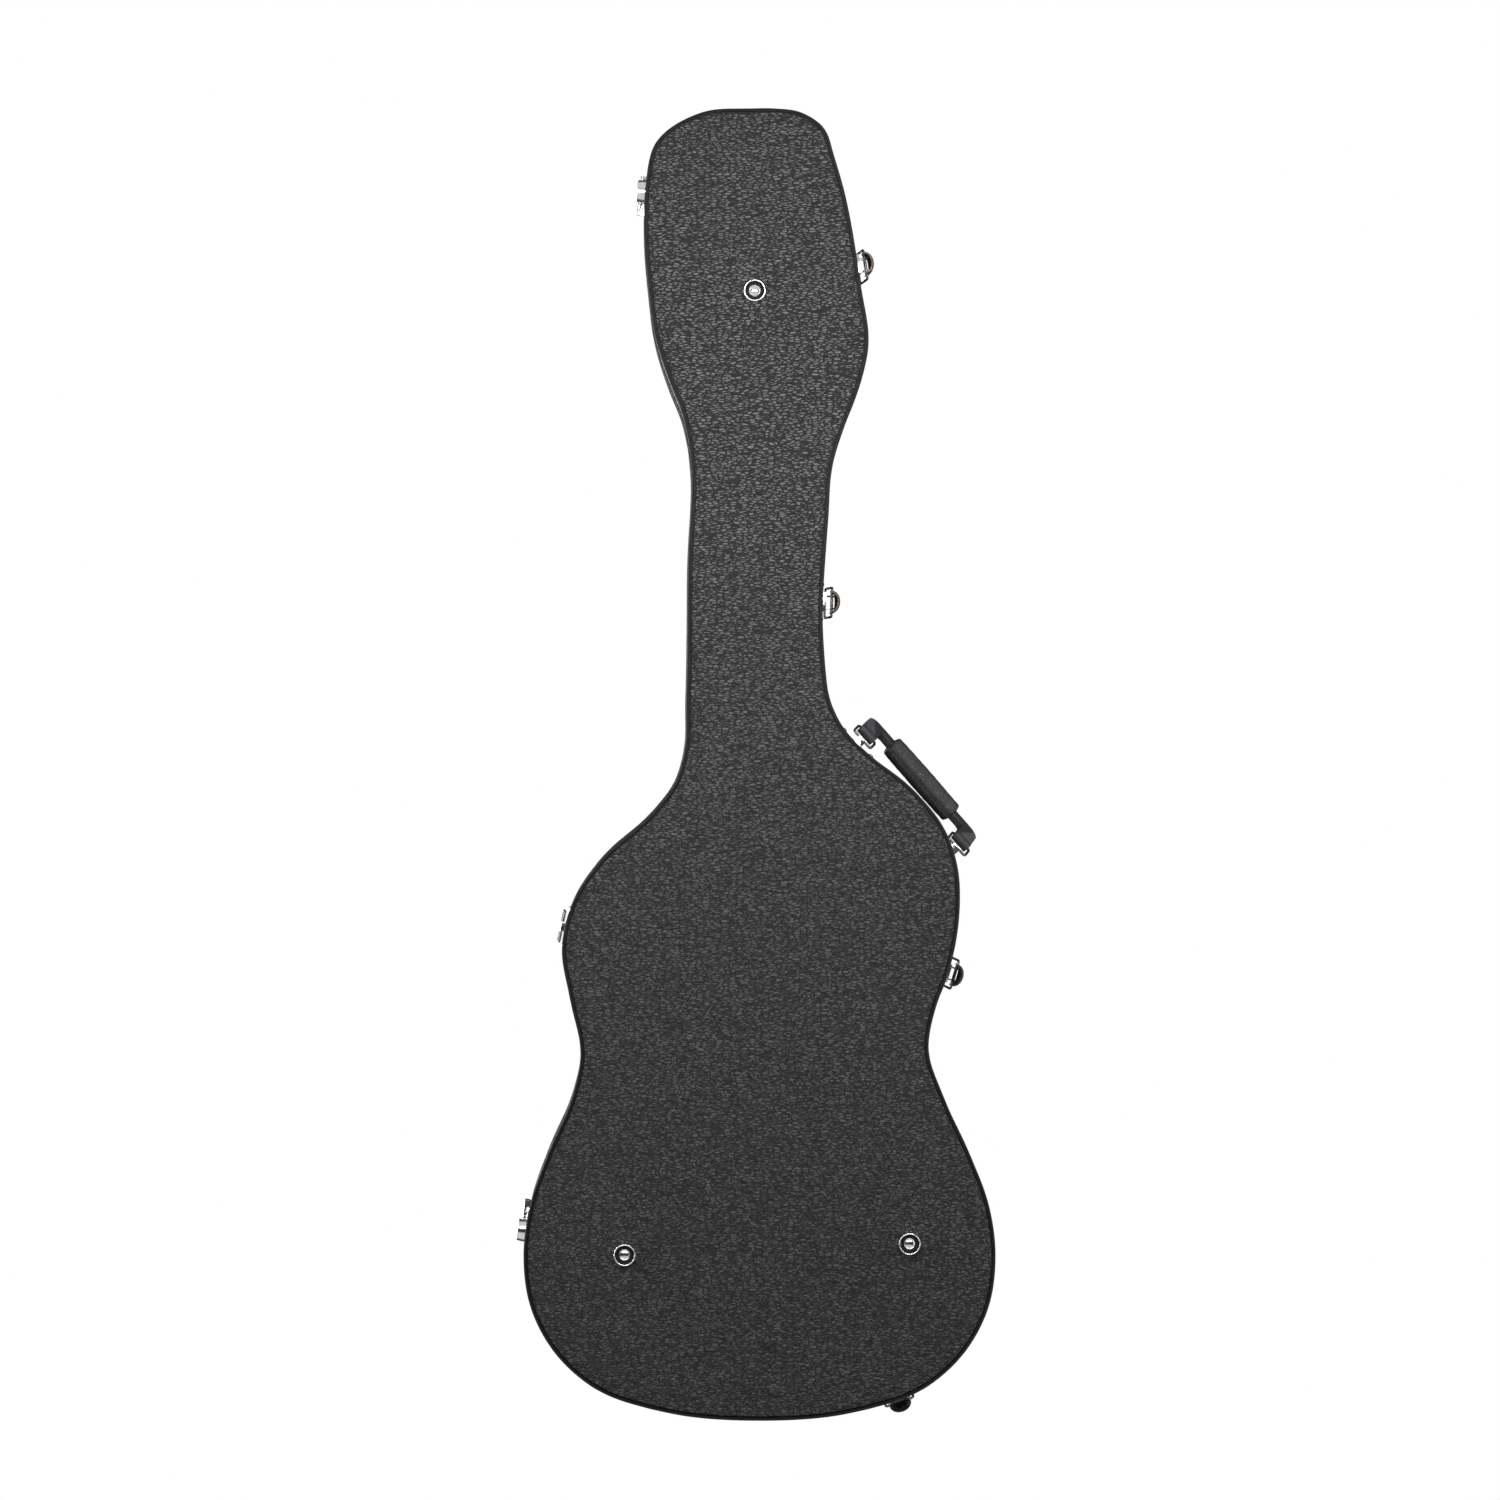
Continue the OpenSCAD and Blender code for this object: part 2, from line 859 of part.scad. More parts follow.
module base_rivets() {
    latch_rivet_x = 14.2;
    leaf_rivet_x = 9;
    bracket_rivet_x = 15;
    // The wall is hollow under the front bracket, so the heads there stand a little further out
    hollow_rise = [0.35, 0];
    color(chrome)
        for (side = [-1, 1]) {
            for (s = latch_stations)
                wall_rivet(s, side * latch_rivet_x, seam_z + plate_top - flange[1] / 2, flange[2]);
            for (s = hinge_stations)
                wall_rivet(further(s, side * leaf_rivet_x), 0, seam_z - leaf_h * 0.68, leaf_t);
            for (i = [0, 1])
                wall_rivet(
                    further(bracket_stations[i], side * bracket_rivet_x), 0,
                    ring_pivot_z, bracket_t + hollow_rise[i]
                );
            wall_rivet(further(strap_ring_station, side * bracket_rivet_x), 0, ring_pivot_z, bracket_t);
        }
}

module lid_rivets() {
    keeper_rivet_x = 9;
    leaf_rivet_x = 9;
    color(chrome)
        for (side = [-1, 1]) {
            for (s = latch_stations)
                wall_rivet(s, side * keeper_rivet_x, seam_z + keeper_z + keeper[1] * 0.7, keeper[2]);
            for (s = hinge_stations)
                wall_rivet(further(s, side * leaf_rivet_x), 0, seam_z + leaf_h * 0.68, leaf_t);
        }
}

// ---- Lid ----

module lid_panel() {
    color(vinyl)
        slab(piping_w, ceiling_z, top_z);
}

module lid_piping() {
    color("#161617")
        piping(top_z, -1);
}

module lid_wall() {
    color(vinyl)
        rim(0, wall_t, lid_z, ceiling_z);
}

module lid_valance() {
    color("#161617")
        valance(lid_z, lid_z + valance_h);
}

module lid_lining() {
    color(plush)
        slab(wall_t + soft_gap, lid_pad_z, ceiling_z);
}

module lid_body_pad() {
    color(plush)
        intersection() {
            slab(cavity_inset, lid_pad_z - lid_pad_t, lid_pad_z);
            stretch(neck_end_x + body_pad_gap, case_len);
        }
}

module lid_neck_pad() {
    color(plush)
        intersection() {
            slab(neck_inset, lid_pad_z - lid_pad_t, lid_pad_z);
            stretch(head_end_x, head_end_x + 2 * cradle_len);
        }
}

back_panel();
back_piping();
base_wall();
base_valance();
inner_lip();
base_lining();
body_surround();
neck_pads();
head_surround();
neck_cradle();
accessory_box();
back_feet();
back_foot_screws();
side_feet();
side_foot_screws();
hinge_base_leaves();
hinge_pins();
base_rivets();
latch_pins();
latch_plate(0);  // head_latch_plate
latch_plate(1);  // neck_latch_plate
latch_plate(2);  // body_latch_plate
latch_plate(3);  // end_latch_plate
handle_bracket(0);  // front_handle_bracket
handle_bracket(1);  // rear_handle_bracket
strap_ring_bracket();
lid_panel();
lid_piping();
lid_wall();
lid_valance();
lid_lining();
lid_body_pad();
lid_neck_pad();
hinge_lid_leaves();
lid_rivets();
latch_keeper(0);  // head_keeper
latch_keeper(1);  // neck_keeper
latch_keeper(2);  // body_keeper
latch_keeper(3);  // end_keeper
accessory_lid();
accessory_pull();
latch_lever(0);  // head_latch_lever
latch_lever(1);  // neck_latch_lever
latch_lever(2);  // body_latch_lever
latch_lever(3);  // end_latch_lever
latch_loop(0);  // head_latch_loop
latch_loop(1);  // neck_latch_loop
latch_loop(2);  // body_latch_loop
latch_loop(3);  // end_latch_loop
handle_ring(0);  // front_handle_ring
handle_ring(1);  // rear_handle_ring
handle_strap();
handle_grip();
strap_ring();
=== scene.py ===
import json
import math
from contextlib import contextmanager

import bmesh
import bpy
import numpy as np
from mathutils import Matrix, Vector, noise


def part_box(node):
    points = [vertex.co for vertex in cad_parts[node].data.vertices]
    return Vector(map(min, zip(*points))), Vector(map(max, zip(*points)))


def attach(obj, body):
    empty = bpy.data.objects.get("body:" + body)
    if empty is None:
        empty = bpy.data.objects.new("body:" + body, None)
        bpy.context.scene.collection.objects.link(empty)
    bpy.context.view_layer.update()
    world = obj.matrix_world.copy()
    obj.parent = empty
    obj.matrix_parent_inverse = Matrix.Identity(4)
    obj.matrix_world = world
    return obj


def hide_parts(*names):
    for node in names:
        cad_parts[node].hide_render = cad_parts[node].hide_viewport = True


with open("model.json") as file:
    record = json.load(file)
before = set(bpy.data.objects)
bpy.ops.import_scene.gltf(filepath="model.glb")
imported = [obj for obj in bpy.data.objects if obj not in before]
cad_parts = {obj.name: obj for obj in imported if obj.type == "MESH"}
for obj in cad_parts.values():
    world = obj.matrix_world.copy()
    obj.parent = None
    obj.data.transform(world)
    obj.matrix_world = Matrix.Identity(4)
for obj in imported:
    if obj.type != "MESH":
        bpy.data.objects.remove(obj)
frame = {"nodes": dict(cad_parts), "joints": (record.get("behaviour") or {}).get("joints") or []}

NODES = frame["nodes"]
JOINTS = {joint["name"]: joint for joint in frame["joints"]}
LATCHES = ["head", "neck", "body", "end"]
MM = 0.001
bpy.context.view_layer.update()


# ---- Places taken from the frame ----


def merged(node):
    """A node's mesh with its doubled corners joined."""
    nearby = 2e-6
    mesh = bmesh.new()
    mesh.from_mesh(NODES[node].data)
    bmesh.ops.remove_doubles(mesh, verts=mesh.verts, dist=nearby)
    return mesh


def islands(node):
    """Corners of each separate solid in a node, as arrays, sorted along X."""
    mesh = merged(node)
    left = set(mesh.verts)
    found = []
    while left:
        group, front = set(), [left.pop()]
        while front:
            vert = front.pop()
            group.add(vert)
            for edge in vert.link_edges:
                other = edge.other_vert(vert)
                if other in left:
                    left.remove(other)
                    front.append(other)
        found.append(np.array([v.co[:] for v in group]))
    mesh.free()
    return sorted(found, key=lambda points: points[:, 0].mean())


def rim_loop(node, level):
    """Longest closed run of edges at a height, as points in the XY plane.

    Each of its edges has a flat face on one side and a steep face on the other."""
    tolerance, flat_from = 1e-5, 0.7
    mesh = merged(node)
    links = {}
    for edge in mesh.edges:
        if all(abs(v.co.z - level) < tolerance for v in edge.verts):
            flat = [abs(face.normal.z) > flat_from for face in edge.link_faces]
            if len(flat) == 2 and flat[0] != flat[1]:
                a, b = edge.verts
                links.setdefault(a, []).append(b)
                links.setdefault(b, []).append(a)
    loops = []
    while links:
        start = next(iter(links))
        loop, here = [start], start
        while True:
            ahead = [v for v in links.pop(here) if v in links]
            if not ahead:
                break
            here = ahead[0]
            loop.append(here)
        loops.append(np.array([v.co[:2] for v in loop]))
    mesh.free()
    return max(loops, key=lambda points: np.ptp(points[:, 0]) + np.ptp(points[:, 1]))


def smooth_loop(points, per_span):
    """Closed Catmull-Rom curve through points."""
    before, after, beyond = (np.roll(points, k, 0) for k in (1, -1, -2))
    rows = []
    for t in np.arange(per_span) / per_span:
        rows.append(
            0.5 * (
                2 * points
                + (after - before) * t
                + (2 * before - 5 * points + 4 * after - beyond) * t ** 2
                + (3 * points - before - 3 * after + beyond) * t ** 3
            )
        )
    return np.stack(rows, 1).reshape(-1, 2)


def signed_area(points):
    """Area inside a closed run of points, positive where they run anticlockwise."""
    ahead = np.roll(points, -1, 0)
    return 0.5 * np.sum(points[:, 0] * ahead[:, 1] - ahead[:, 0] * points[:, 1])


def outward_normals(points):
    """Unit vectors that point out of an anticlockwise loop, one for each point."""
    tangent = np.roll(points, -1, 0) - np.roll(points, 1, 0)
    tangent /= np.linalg.norm(tangent, axis=1)[:, None]
    return np.stack([tangent[:, 1], -tangent[:, 0]], 1)


def heights(node):
    """Lowest and highest Z of a node."""
    low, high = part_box(node)
    return low.z, high.z


back_z, floor_z = heights("back_panel")
seam_z = heights("base_wall")[1]
lid_z = heights("lid_wall")[0]
ceiling_z, top_z = heights("lid_panel")

outline = rim_loop("base_wall", floor_z)
if signed_area(outline) < 0:
    outline = outline[::-1]
outline = smooth_loop(outline, 3)
normals = outward_normals(outline)


def wall_frame(point):
    """Frame on the side wall nearest to a point: X along the wall, Y out of it, Z up."""
    gaps = np.linalg.norm(outline - np.array(point[:2]), axis=1)
    i = int(np.argmin(gaps))
    out = Vector((*normals[i], 0))
    along = out.cross(Vector((0, 0, 1)))
    place = Matrix((along, out, (0, 0, 1))).transposed().to_4x4()
    place.translation = (*outline[i], point[2])
    return place


def handle_frame():
    """Frame at the middle of the ring crossbars: X along the grip, Z towards the grip."""
    pivot = JOINTS["handle_pivot"]
    along = Vector(pivot["axis"])
    origin = Vector(pivot["pos_m"])
    corners = [v.co for v in NODES["handle_grip"].data.vertices]
    up = sum(corners, Vector()) / len(corners) - origin
    up = (up - along * up.dot(along)).normalized()
    place = Matrix((along, up.cross(along), up)).transposed().to_4x4()
    place.translation = origin
    return place


# ---- Making pieces ----


def new_object(name, data):
    """An object with some data, linked into the scene."""
    obj = bpy.data.objects.new(name, data)
    bpy.context.collection.objects.link(obj)
    return obj


@contextmanager
def edited(data):
    """A mesh that is open for editing and is written back at the end."""
    mesh = bmesh.new()
    mesh.from_mesh(data)
    yield mesh
    mesh.to_mesh(data)
    mesh.free()


def written(name, mesh):
    """A new object that takes over a mesh under construction."""
    data = bpy.data.meshes.new(name)
    mesh.to_mesh(data)
    mesh.free()
    return new_object(name, data)


def piece(name, verts, faces, material, body, nodes, slot):
    """A mesh piece with one material, riding on a body and standing for CAD nodes."""
    data = bpy.data.meshes.new(name)
    data.from_pydata([tuple(v) for v in verts], [], [tuple(f) for f in faces])
    return finish_piece(new_object(name, data), material, body, nodes)


def finish_piece(obj, material, body, nodes):
    """Shades a piece, colours it, parents it to its body's empty and hides the CAD nodes it stands for."""
    with edited(obj.data) as mesh:
        bmesh.ops.recalc_face_normals(mesh, faces=mesh.faces)
        for face in mesh.faces:
            face.smooth = True
    obj.data.materials.clear()
    obj.data.materials.append(material)
    sharpen(obj)
    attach(obj, body)
    if nodes:
        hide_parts(*nodes)
    return obj


def sharpen(obj, angle=40):
    """Keeps edges sharper than an angle crisp in the smooth shading."""
    with edited(obj.data) as mesh:
        for edge in mesh.edges:
            edge.smooth = len(edge.link_faces) == 2 and edge.calc_face_angle(0) < math.radians(angle)


def apply_modifiers(obj):
    """Replaces an object's mesh with what its modifiers make of it."""
    graph = bpy.context.evaluated_depsgraph_get()
    data = bpy.data.meshes.new_from_object(obj.evaluated_get(graph))
    obj.modifiers.clear()
    obj.data = data


def sweep(name, profile, material, body, nodes, slot, closed=True, keep=None):
    """Carries a profile of (out, height) pairs in millimetres round the outline.

    A closed profile makes a ring. An open one is closed by a flat cap at each end.
    keep says which stations of the outline are used; each unbroken run gets its own ends."""
    count, size = len(outline), len(profile)
    profile = [(out * MM, height) for out, height in profile]
    verts = [
        (*(outline[i] + normals[i] * out), height)
        for i in range(count)
        for out, height in profile
    ]
    used = [True] * count if keep is None else keep
    faces = []
    for i in range(count):
        j = (i + 1) % count
        if not (used[i] and used[j]):
            continue
        for k in range(size if closed else size - 1):
            m = (k + 1) % size
            faces.append((i * size + k, i * size + m, j * size + m, j * size + k))
    for i in range(count):
        if used[i] and not (used[i - 1] and used[(i + 1) % count]):
            faces.append([i * size + k for k in range(size)])
    if not closed:
        faces.append([i * size for i in range(count)])
        faces.append([i * size + size - 1 for i in range(count)])
    if not all(used):
        index = {v: n for n, v in enumerate(sorted({v for face in faces for v in face}))}
        verts = [verts[v] for v in index]
        faces = [[index[v] for v in face] for face in faces]
    return piece(name, verts, faces, material, body, nodes, slot)


def arc(centre, radius, start, end, steps):
    """Points of a circular arc, in degrees, as (x, y) pairs."""
    return [
        (
            centre[0] + radius * math.cos(math.radians(start + (end - start) * k / steps)),
            centre[1] + radius * math.sin(math.radians(start + (end - start) * k / steps)),
        )
        for k in range(steps + 1)
    ]


def quads(rows, size, base=0, round_row=True):
    """Faces between the corners of a grid, which are numbered row by row from base.

    round_row joins the ends of each row."""
    faces = []
    for i in range(rows - 1):
        here, ahead = base + i * size, base + (i + 1) * size
        for k in range(size if round_row else size - 1):
            m = (k + 1) % size
            faces.append((here + k, here + m, ahead + m, ahead + k))
    return faces


def lathe(profile, place, steps=64):
    """Turns (radius, height) pairs in millimetres round the local Z axis of a frame."""
    verts, faces = [], []
    size = len(profile)
    for i in range(steps):
        a = 2 * math.pi * i / steps
        for radius, height in profile:
            local = Vector((radius * math.cos(a), radius * math.sin(a), height)) * MM
            verts.append(place @ local)
        j = (i + 1) % steps
        for k in range(size - 1):
            faces.append((i * size + k, j * size + k, j * size + k + 1, i * size + k + 1))
    return verts, faces


def joined(parts):
    """Several (verts, faces) lists as one."""
    verts, faces = [], []
    for part_verts, part_faces in parts:
        base = len(verts)
        verts += list(part_verts)
        faces += [[v + base for v in face] for face in part_faces]
    return verts, faces


def tube(path, radius, sides=14, closed=False):
    """Round wire along a path of vectors."""
    count = len(path)
    verts, faces = [], []
    up = None
    for i in range(count):
        behind = path[i - 1] if closed or i else path[i]
        ahead = path[(i + 1) % count] if closed or i < count - 1 else path[i]
        tangent = (ahead - behind).normalized()
        if up is None:
            up = tangent.orthogonal().normalized()
        up = (up - tangent * up.dot(tangent)).normalized()
        side = tangent.cross(up)
        for k in range(sides):
            a = 2 * math.pi * k / sides
            verts.append(path[i] + (up * math.cos(a) + side * math.sin(a)) * radius)
    for i in range(count if closed else count - 1):
        j = (i + 1) % count
        turn = 0
        if closed and j == 0:
            gaps = [(verts[i * sides] - verts[k]).length for k in range(sides)]
            turn = gaps.index(min(gaps))
        for k in range(sides):
            m = (k + 1) % sides
            faces.append((
                i * sides + k,
                i * sides + m,
                j * sides + (m + turn) % sides,
                j * sides + (k + turn) % sides,
            ))
    if not closed:
        faces.append(list(range(sides)))
        faces.append(list(range((count - 1) * sides, count * sides)))
    return verts, faces


def rounded_path(corners, radius, steps=6):
    """Closed path through corners, with each corner turned into an arc."""
    path = []
    count = len(corners)
    for i, corner in enumerate(corners):
        back = (corners[i - 1] - corner).normalized()
        ahead = (corners[(i + 1) % count] - corner).normalized()
        start, end = corner + back * radius, corner + ahead * radius
        for k in range(steps + 1):
            t = k / steps
            path.append(start * (1 - t) ** 2 + corner * 2 * t * (1 - t) + end * t ** 2)
    return path


def detail(node, body, material, width=0.35, segments=3):
    """A CAD node's shape with its edges rounded, as pressed and polished metal has."""
    flat_angle, round_angle = math.radians(2), math.radians(35)
    mesh = merged(node)
    bmesh.ops.dissolve_limit(mesh, angle_limit=flat_angle, verts=mesh.verts, edges=mesh.edges)
    obj = written(node + "_shape", mesh)
    bevel = obj.modifiers.new("round", "BEVEL")
    bevel.width = width * MM
    bevel.segments = segments
    bevel.limit_method = "ANGLE"
    bevel.angle_limit = round_angle
    bevel.use_clamp_overlap = True
    apply_modifiers(obj)
    return finish_piece(obj, material, body, [node])


def soft_block(name, node, body, material, voxel=3.0, rounds=6, puff=0.0):
    """Foam under plush: a CAD block with its edges worn round and its surface slightly uneven.

    Each wave of the unevenness is its count per metre and its height in millimetres."""
    waves = ((22, 0.5), (60, 0.25))
    obj = written(name, merged(node))
    remesh = obj.modifiers.new("remesh", "REMESH")
    remesh.mode = "VOXEL"
    remesh.voxel_size = voxel * MM
    smooth = obj.modifiers.new("soft", "SMOOTH")
    smooth.factor = 0.5
    smooth.iterations = rounds
    apply_modifiers(obj)
    with edited(obj.data) as mesh:
        for vert in mesh.verts:
            uneven = sum(noise.noise(vert.co * count) * height for count, height in waves)
            vert.co += vert.normal * (uneven + puff) * MM
    finish_piece(obj, material, body, [node])
    return obj


# ---- Materials ----


class Graph:
    """Shader nodes under construction."""

    def __init__(self, tree):
        self.tree = tree

    def node(self, kind, **values):
        """Adds a node and sets its properties."""
        made = self.tree.nodes.new(kind)
        for key, value in values.items():
            setattr(made, key, value)
        return made

    def feed(self, socket, value):
        """Links an output to an input, or gives the input a constant."""
        if isinstance(value, bpy.types.NodeSocket):
            self.tree.links.new(value, socket)
        else:
            socket.default_value = value

    def set(self, node, **inputs):
        """Feeds a node's inputs by name, with _ for a space."""
        for key, value in inputs.items():
            self.feed(node.inputs[key.replace("_", " ")], value)

    def math(self, operation, *values):
        made = self.node("ShaderNodeMath", operation=operation)
        for socket, value in zip(made.inputs, values):
            self.feed(socket, value)
        return made.outputs[0]

    def total(self, *parts):
        """Sum of (value, weight) pairs."""
        shares = [self.math("MULTIPLY", value, weight) for value, weight in parts]
        whole = shares[0]
        for share in shares[1:]:
            whole = self.math("ADD", whole, share)
        return whole

    def spread(self, value, low, high, to_low=0.0, to_high=1.0):
        """Smooth step from one range of values to another."""
        made = self.node("ShaderNodeMapRange", interpolation_type="SMOOTHSTEP")
        self.set(made, Value=value, From_Min=low, From_Max=high, To_Min=to_low, To_Max=to_high)
        return made.outputs[0]

    def blend(self, factor, a, b):
        """Mix of two colours, each an output or an RGB triple."""
        first_color, second_color, color_out = 6, 7, 2
        made = self.node("ShaderNodeMix", data_type="RGBA")
        self.feed(made.inputs["Factor"], factor)
        for socket, value in ((made.inputs[first_color], a), (made.inputs[second_color], b)):
            self.feed(socket, (*value, 1) if isinstance(value, tuple) else value)
        return made.outputs[color_out]

    def mixed_shader(self, factor, a, b):
        made = self.node("ShaderNodeMixShader")
        for socket, value in zip(made.inputs, (factor, a, b)):
            self.feed(socket, value)
        return made.outputs[0]


class Surface(Graph):
    """A Principled material under construction."""

    def __init__(self, name, color, roughness, metallic=0.0, specular=0.5):
        self.material = bpy.data.materials.new(name)
        self.material.use_nodes = True
        super().__init__(self.material.node_tree)
        self.shader = self.tree.nodes["Principled BSDF"]
        self.shader.inputs["Base Color"].default_value = (*color, 1)
        self.shader.inputs["Roughness"].default_value = roughness
        self.shader.inputs["Metallic"].default_value = metallic
        self.shader.inputs["Specular IOR Level"].default_value = specular
        self.coords = self.node("ShaderNodeTexCoord").outputs["Object"]

    def scaled(self, scale):
        """The object's coordinates, scaled along each axis."""
        made = self.node("ShaderNodeMapping")
        self.set(made, Vector=self.coords, Scale=scale)
        return made.outputs[0]

    def noise(self, vector, scale, levels=2.0, roughness=0.5, output="Fac"):
        made = self.node("ShaderNodeTexNoise")
        self.set(made, Vector=vector, Scale=scale, Detail=levels, Roughness=roughness)
        return made.outputs[output]

    def cells(self, vector, scale):
        """Distance to the edges of irregular cells."""
        made = self.node("ShaderNodeTexVoronoi", feature="DISTANCE_TO_EDGE")
        self.set(made, Vector=vector, Scale=scale, Randomness=1.0)
        return made.outputs["Distance"]

    def vector_math(self, operation, *values, **inputs):
        made = self.node("ShaderNodeVectorMath", operation=operation)
        for socket, value in zip(made.inputs, values):
            self.feed(socket, value)
        self.set(made, **inputs)
        return made.outputs[0]

    def warped(self, vector, amount, scale):
        """Coordinates pushed about by noise."""
        drift = self.noise(vector, scale, output="Color")
        centred = self.vector_math("SUBTRACT", drift, (0.5, 0.5, 0.5))
        push = self.vector_math("SCALE", centred, Scale=amount)
        return self.vector_math("ADD", vector, push)

    def bump(self, height, distance):
        made = self.node("ShaderNodeBump")
        self.set(made, Height=height, Distance=distance, Strength=1.0)
        self.tree.links.new(made.outputs[0], self.shader.inputs["Normal"])

    def color(self, socket):
        self.tree.links.new(socket, self.shader.inputs["Base Color"])

    def roughness(self, socket):
        self.tree.links.new(socket, self.shader.inputs["Roughness"])


def shade(color, factor, lift=0.0):
    """A colour made lighter or darker."""
    return tuple(c * factor + lift for c in color)


def grained_vinyl(name, color, cell, roughness, depth):
    """Embossed vinyl: small ridges parted by wavy creases, with painted shade in the creases and a painted
    highlight on the tops of the lumps.

    cell is a ridge's size along X, Y and Z, and depth is how deep the creases are, in millimetres."""
    s = Surface(name, color, roughness, specular=0.38)
    bent = s.warped(s.scaled([1 / (size * MM) for size in cell]), 0.5, 0.7)
    ridge = s.spread(s.cells(bent, 1.0), 0.05, 0.20)
    lumps = s.noise(bent, 1.0, 3.0, 0.6)
    fine = s.noise(s.coords, 1900)
    height = s.total((ridge, 0.70), (lumps, 0.50), (fine, 0.08))
    s.bump(height, depth * MM)
    warm = tuple(c * k for c, k in zip(color, (1.07, 1.0, 0.97)))
    patches = s.spread(s.noise(s.coords, 16.0, 3.0, 0.6), 0.35, 0.65)
    ground = s.blend(patches, color, warm)
    # painted highlight: the tops of the lumps are lightened in colour, standing in for light on the grain
    painted_highlight_tops = s.blend(s.spread(lumps, 0.44, 0.58), ground, shade(color, 3.5, 0.003))
    # painted shade: the creases are darkened almost to black, standing in for the shade that falls in them
    s.color(s.blend(s.spread(height, 0.56, 0.82), shade(color, 0.05), painted_highlight_tops))
    s.roughness(s.spread(height, 0.2, 0.95, roughness + 0.25, roughness - 0.05))
    return s.material


def binding(name, color, roughness):
    """Smooth vinyl binding with faint stretch marks and scuffs."""
    s = Surface(name, color, roughness, specular=0.28)
    fine = s.noise(s.coords, 900, 3.0, 0.6)
    scuffs = s.noise(s.scaled((60, 60, 240)), 1.0, 4.0, 0.7)
    s.bump(s.total((fine, 1.0), (scuffs, 0.6)), 0.06 * MM)
    s.color(s.blend(s.spread(scuffs, 0.55, 0.75), color, shade(color, 1.8, 0.003)))
    s.roughness(s.spread(fine, 0.2, 0.8, roughness - 0.06, roughness + 0.12))
    return s.material


def plated(name, color, roughness, metallic=1.0):
    """Nickel or chrome plate with fine handling marks and a faint cloudiness."""
    s = Surface(name, color, roughness, metallic)
    cloud = s.noise(s.coords, 130, 3.0, 0.6)
    marks = s.noise(s.scaled((300, 2600, 900)), 1.0, 2.0, 0.7)
    s.bump(s.total((cloud, 0.5), (marks, 0.25)), 0.004 * MM)
    s.roughness(s.spread(cloud, 0.3, 0.75, roughness * 0.6, roughness * 1.7))
    s.color(s.blend(s.spread(marks, 0.35, 0.7), shade(color, 0.82), color))
    return s.material


def crushed_plush(name, color):
    """Short-pile plush: brushed patches, fibres and a soft sheen."""
    s = Surface(name, color, 0.95, specular=0.15)
    s.shader.inputs["Sheen Weight"].default_value = 0.55
    s.shader.inputs["Sheen Roughness"].default_value = 0.45
    s.shader.inputs["Sheen Tint"].default_value = (0.75, 0.77, 0.85, 1)
    brushed = s.noise(s.warped(s.coords, 0.012, 60), 38, 3.0, 0.6)
    fibres = s.noise(s.warped(s.scaled((1, 1, 0.5)), 0.002, 500), 2400, 2.0, 0.7)
    s.bump(s.total((brushed, 0.8), (fibres, 0.5)), 0.7 * MM)
    dark, light = shade(color, 0.5), shade(color, 1.7)
    patches = s.blend(s.spread(brushed, 0.3, 0.7), dark, light)
    s.color(s.blend(s.spread(fibres, 0.3, 0.75), dark, patches))
    return s.material


def leather(name, color, pebble, roughness, depth):
    """Fine-grained leather with pores and creases. pebble and depth are in millimetres."""
    s = Surface(name, color, roughness)
    bent = s.warped(s.coords, 0.0016, 300)
    pebbles = s.spread(s.cells(bent, 1 / (pebble * MM)), 0.0, 0.25)
    creases = s.noise(s.warped(s.coords, 0.01, 40), 150, 4.0, 0.65)
    height = s.total((pebbles, 0.5), (creases, 0.9))
    s.bump(height, depth * MM)
    s.color(s.blend(s.spread(height, 0.55, 1.1), color, shade(color, 2.2, 0.006)))
    s.roughness(s.spread(height, 0.4, 1.1, roughness + 0.15, roughness - 0.08))
    return s.material


def ribbed_leather(name, color, place, pitch):
    """Leather embossed with fine ribs that run along a frame's X axis. pitch is in millimetres."""
    s = Surface(name, color, 0.5)
    turned = s.node("ShaderNodeMapping")
    s.set(turned, Vector=s.coords, Rotation=place.to_3x3().inverted().to_euler())
    parts = s.node("ShaderNodeSeparateXYZ")
    s.set(parts, Vector=turned.outputs[0])
    drift = s.noise(s.coords, 120)
    phase = s.total((parts.outputs["Z"], 2 * math.pi / (pitch * MM)), (drift, 5.0))
    rib = s.spread(s.math("SINE", phase), -1.0, 1.0)
    pores = s.noise(s.coords, 1400, 3.0, 0.6)
    height = s.total((rib, 0.7), (pores, 0.4))
    s.bump(height, 0.3 * MM)
    s.color(s.blend(s.spread(height, 0.25, 0.9), shade(color, 0.45), shade(color, 1.35)))
    s.roughness(s.spread(height, 0.2, 0.9, 0.6, 0.42))
    return s.material


def thread_material(name, color):
    """Twisted or woven thread."""
    s = Surface(name, color, 0.6)
    twist = s.node("ShaderNodeTexWave")
    s.set(twist, Vector=s.coords, Scale=900.0, Distortion=2.0)
    s.bump(twist.outputs["Fac"], 0.08 * MM)
    s.color(s.blend(twist.outputs["Fac"], shade(color, 0.7), color))
    return s.material


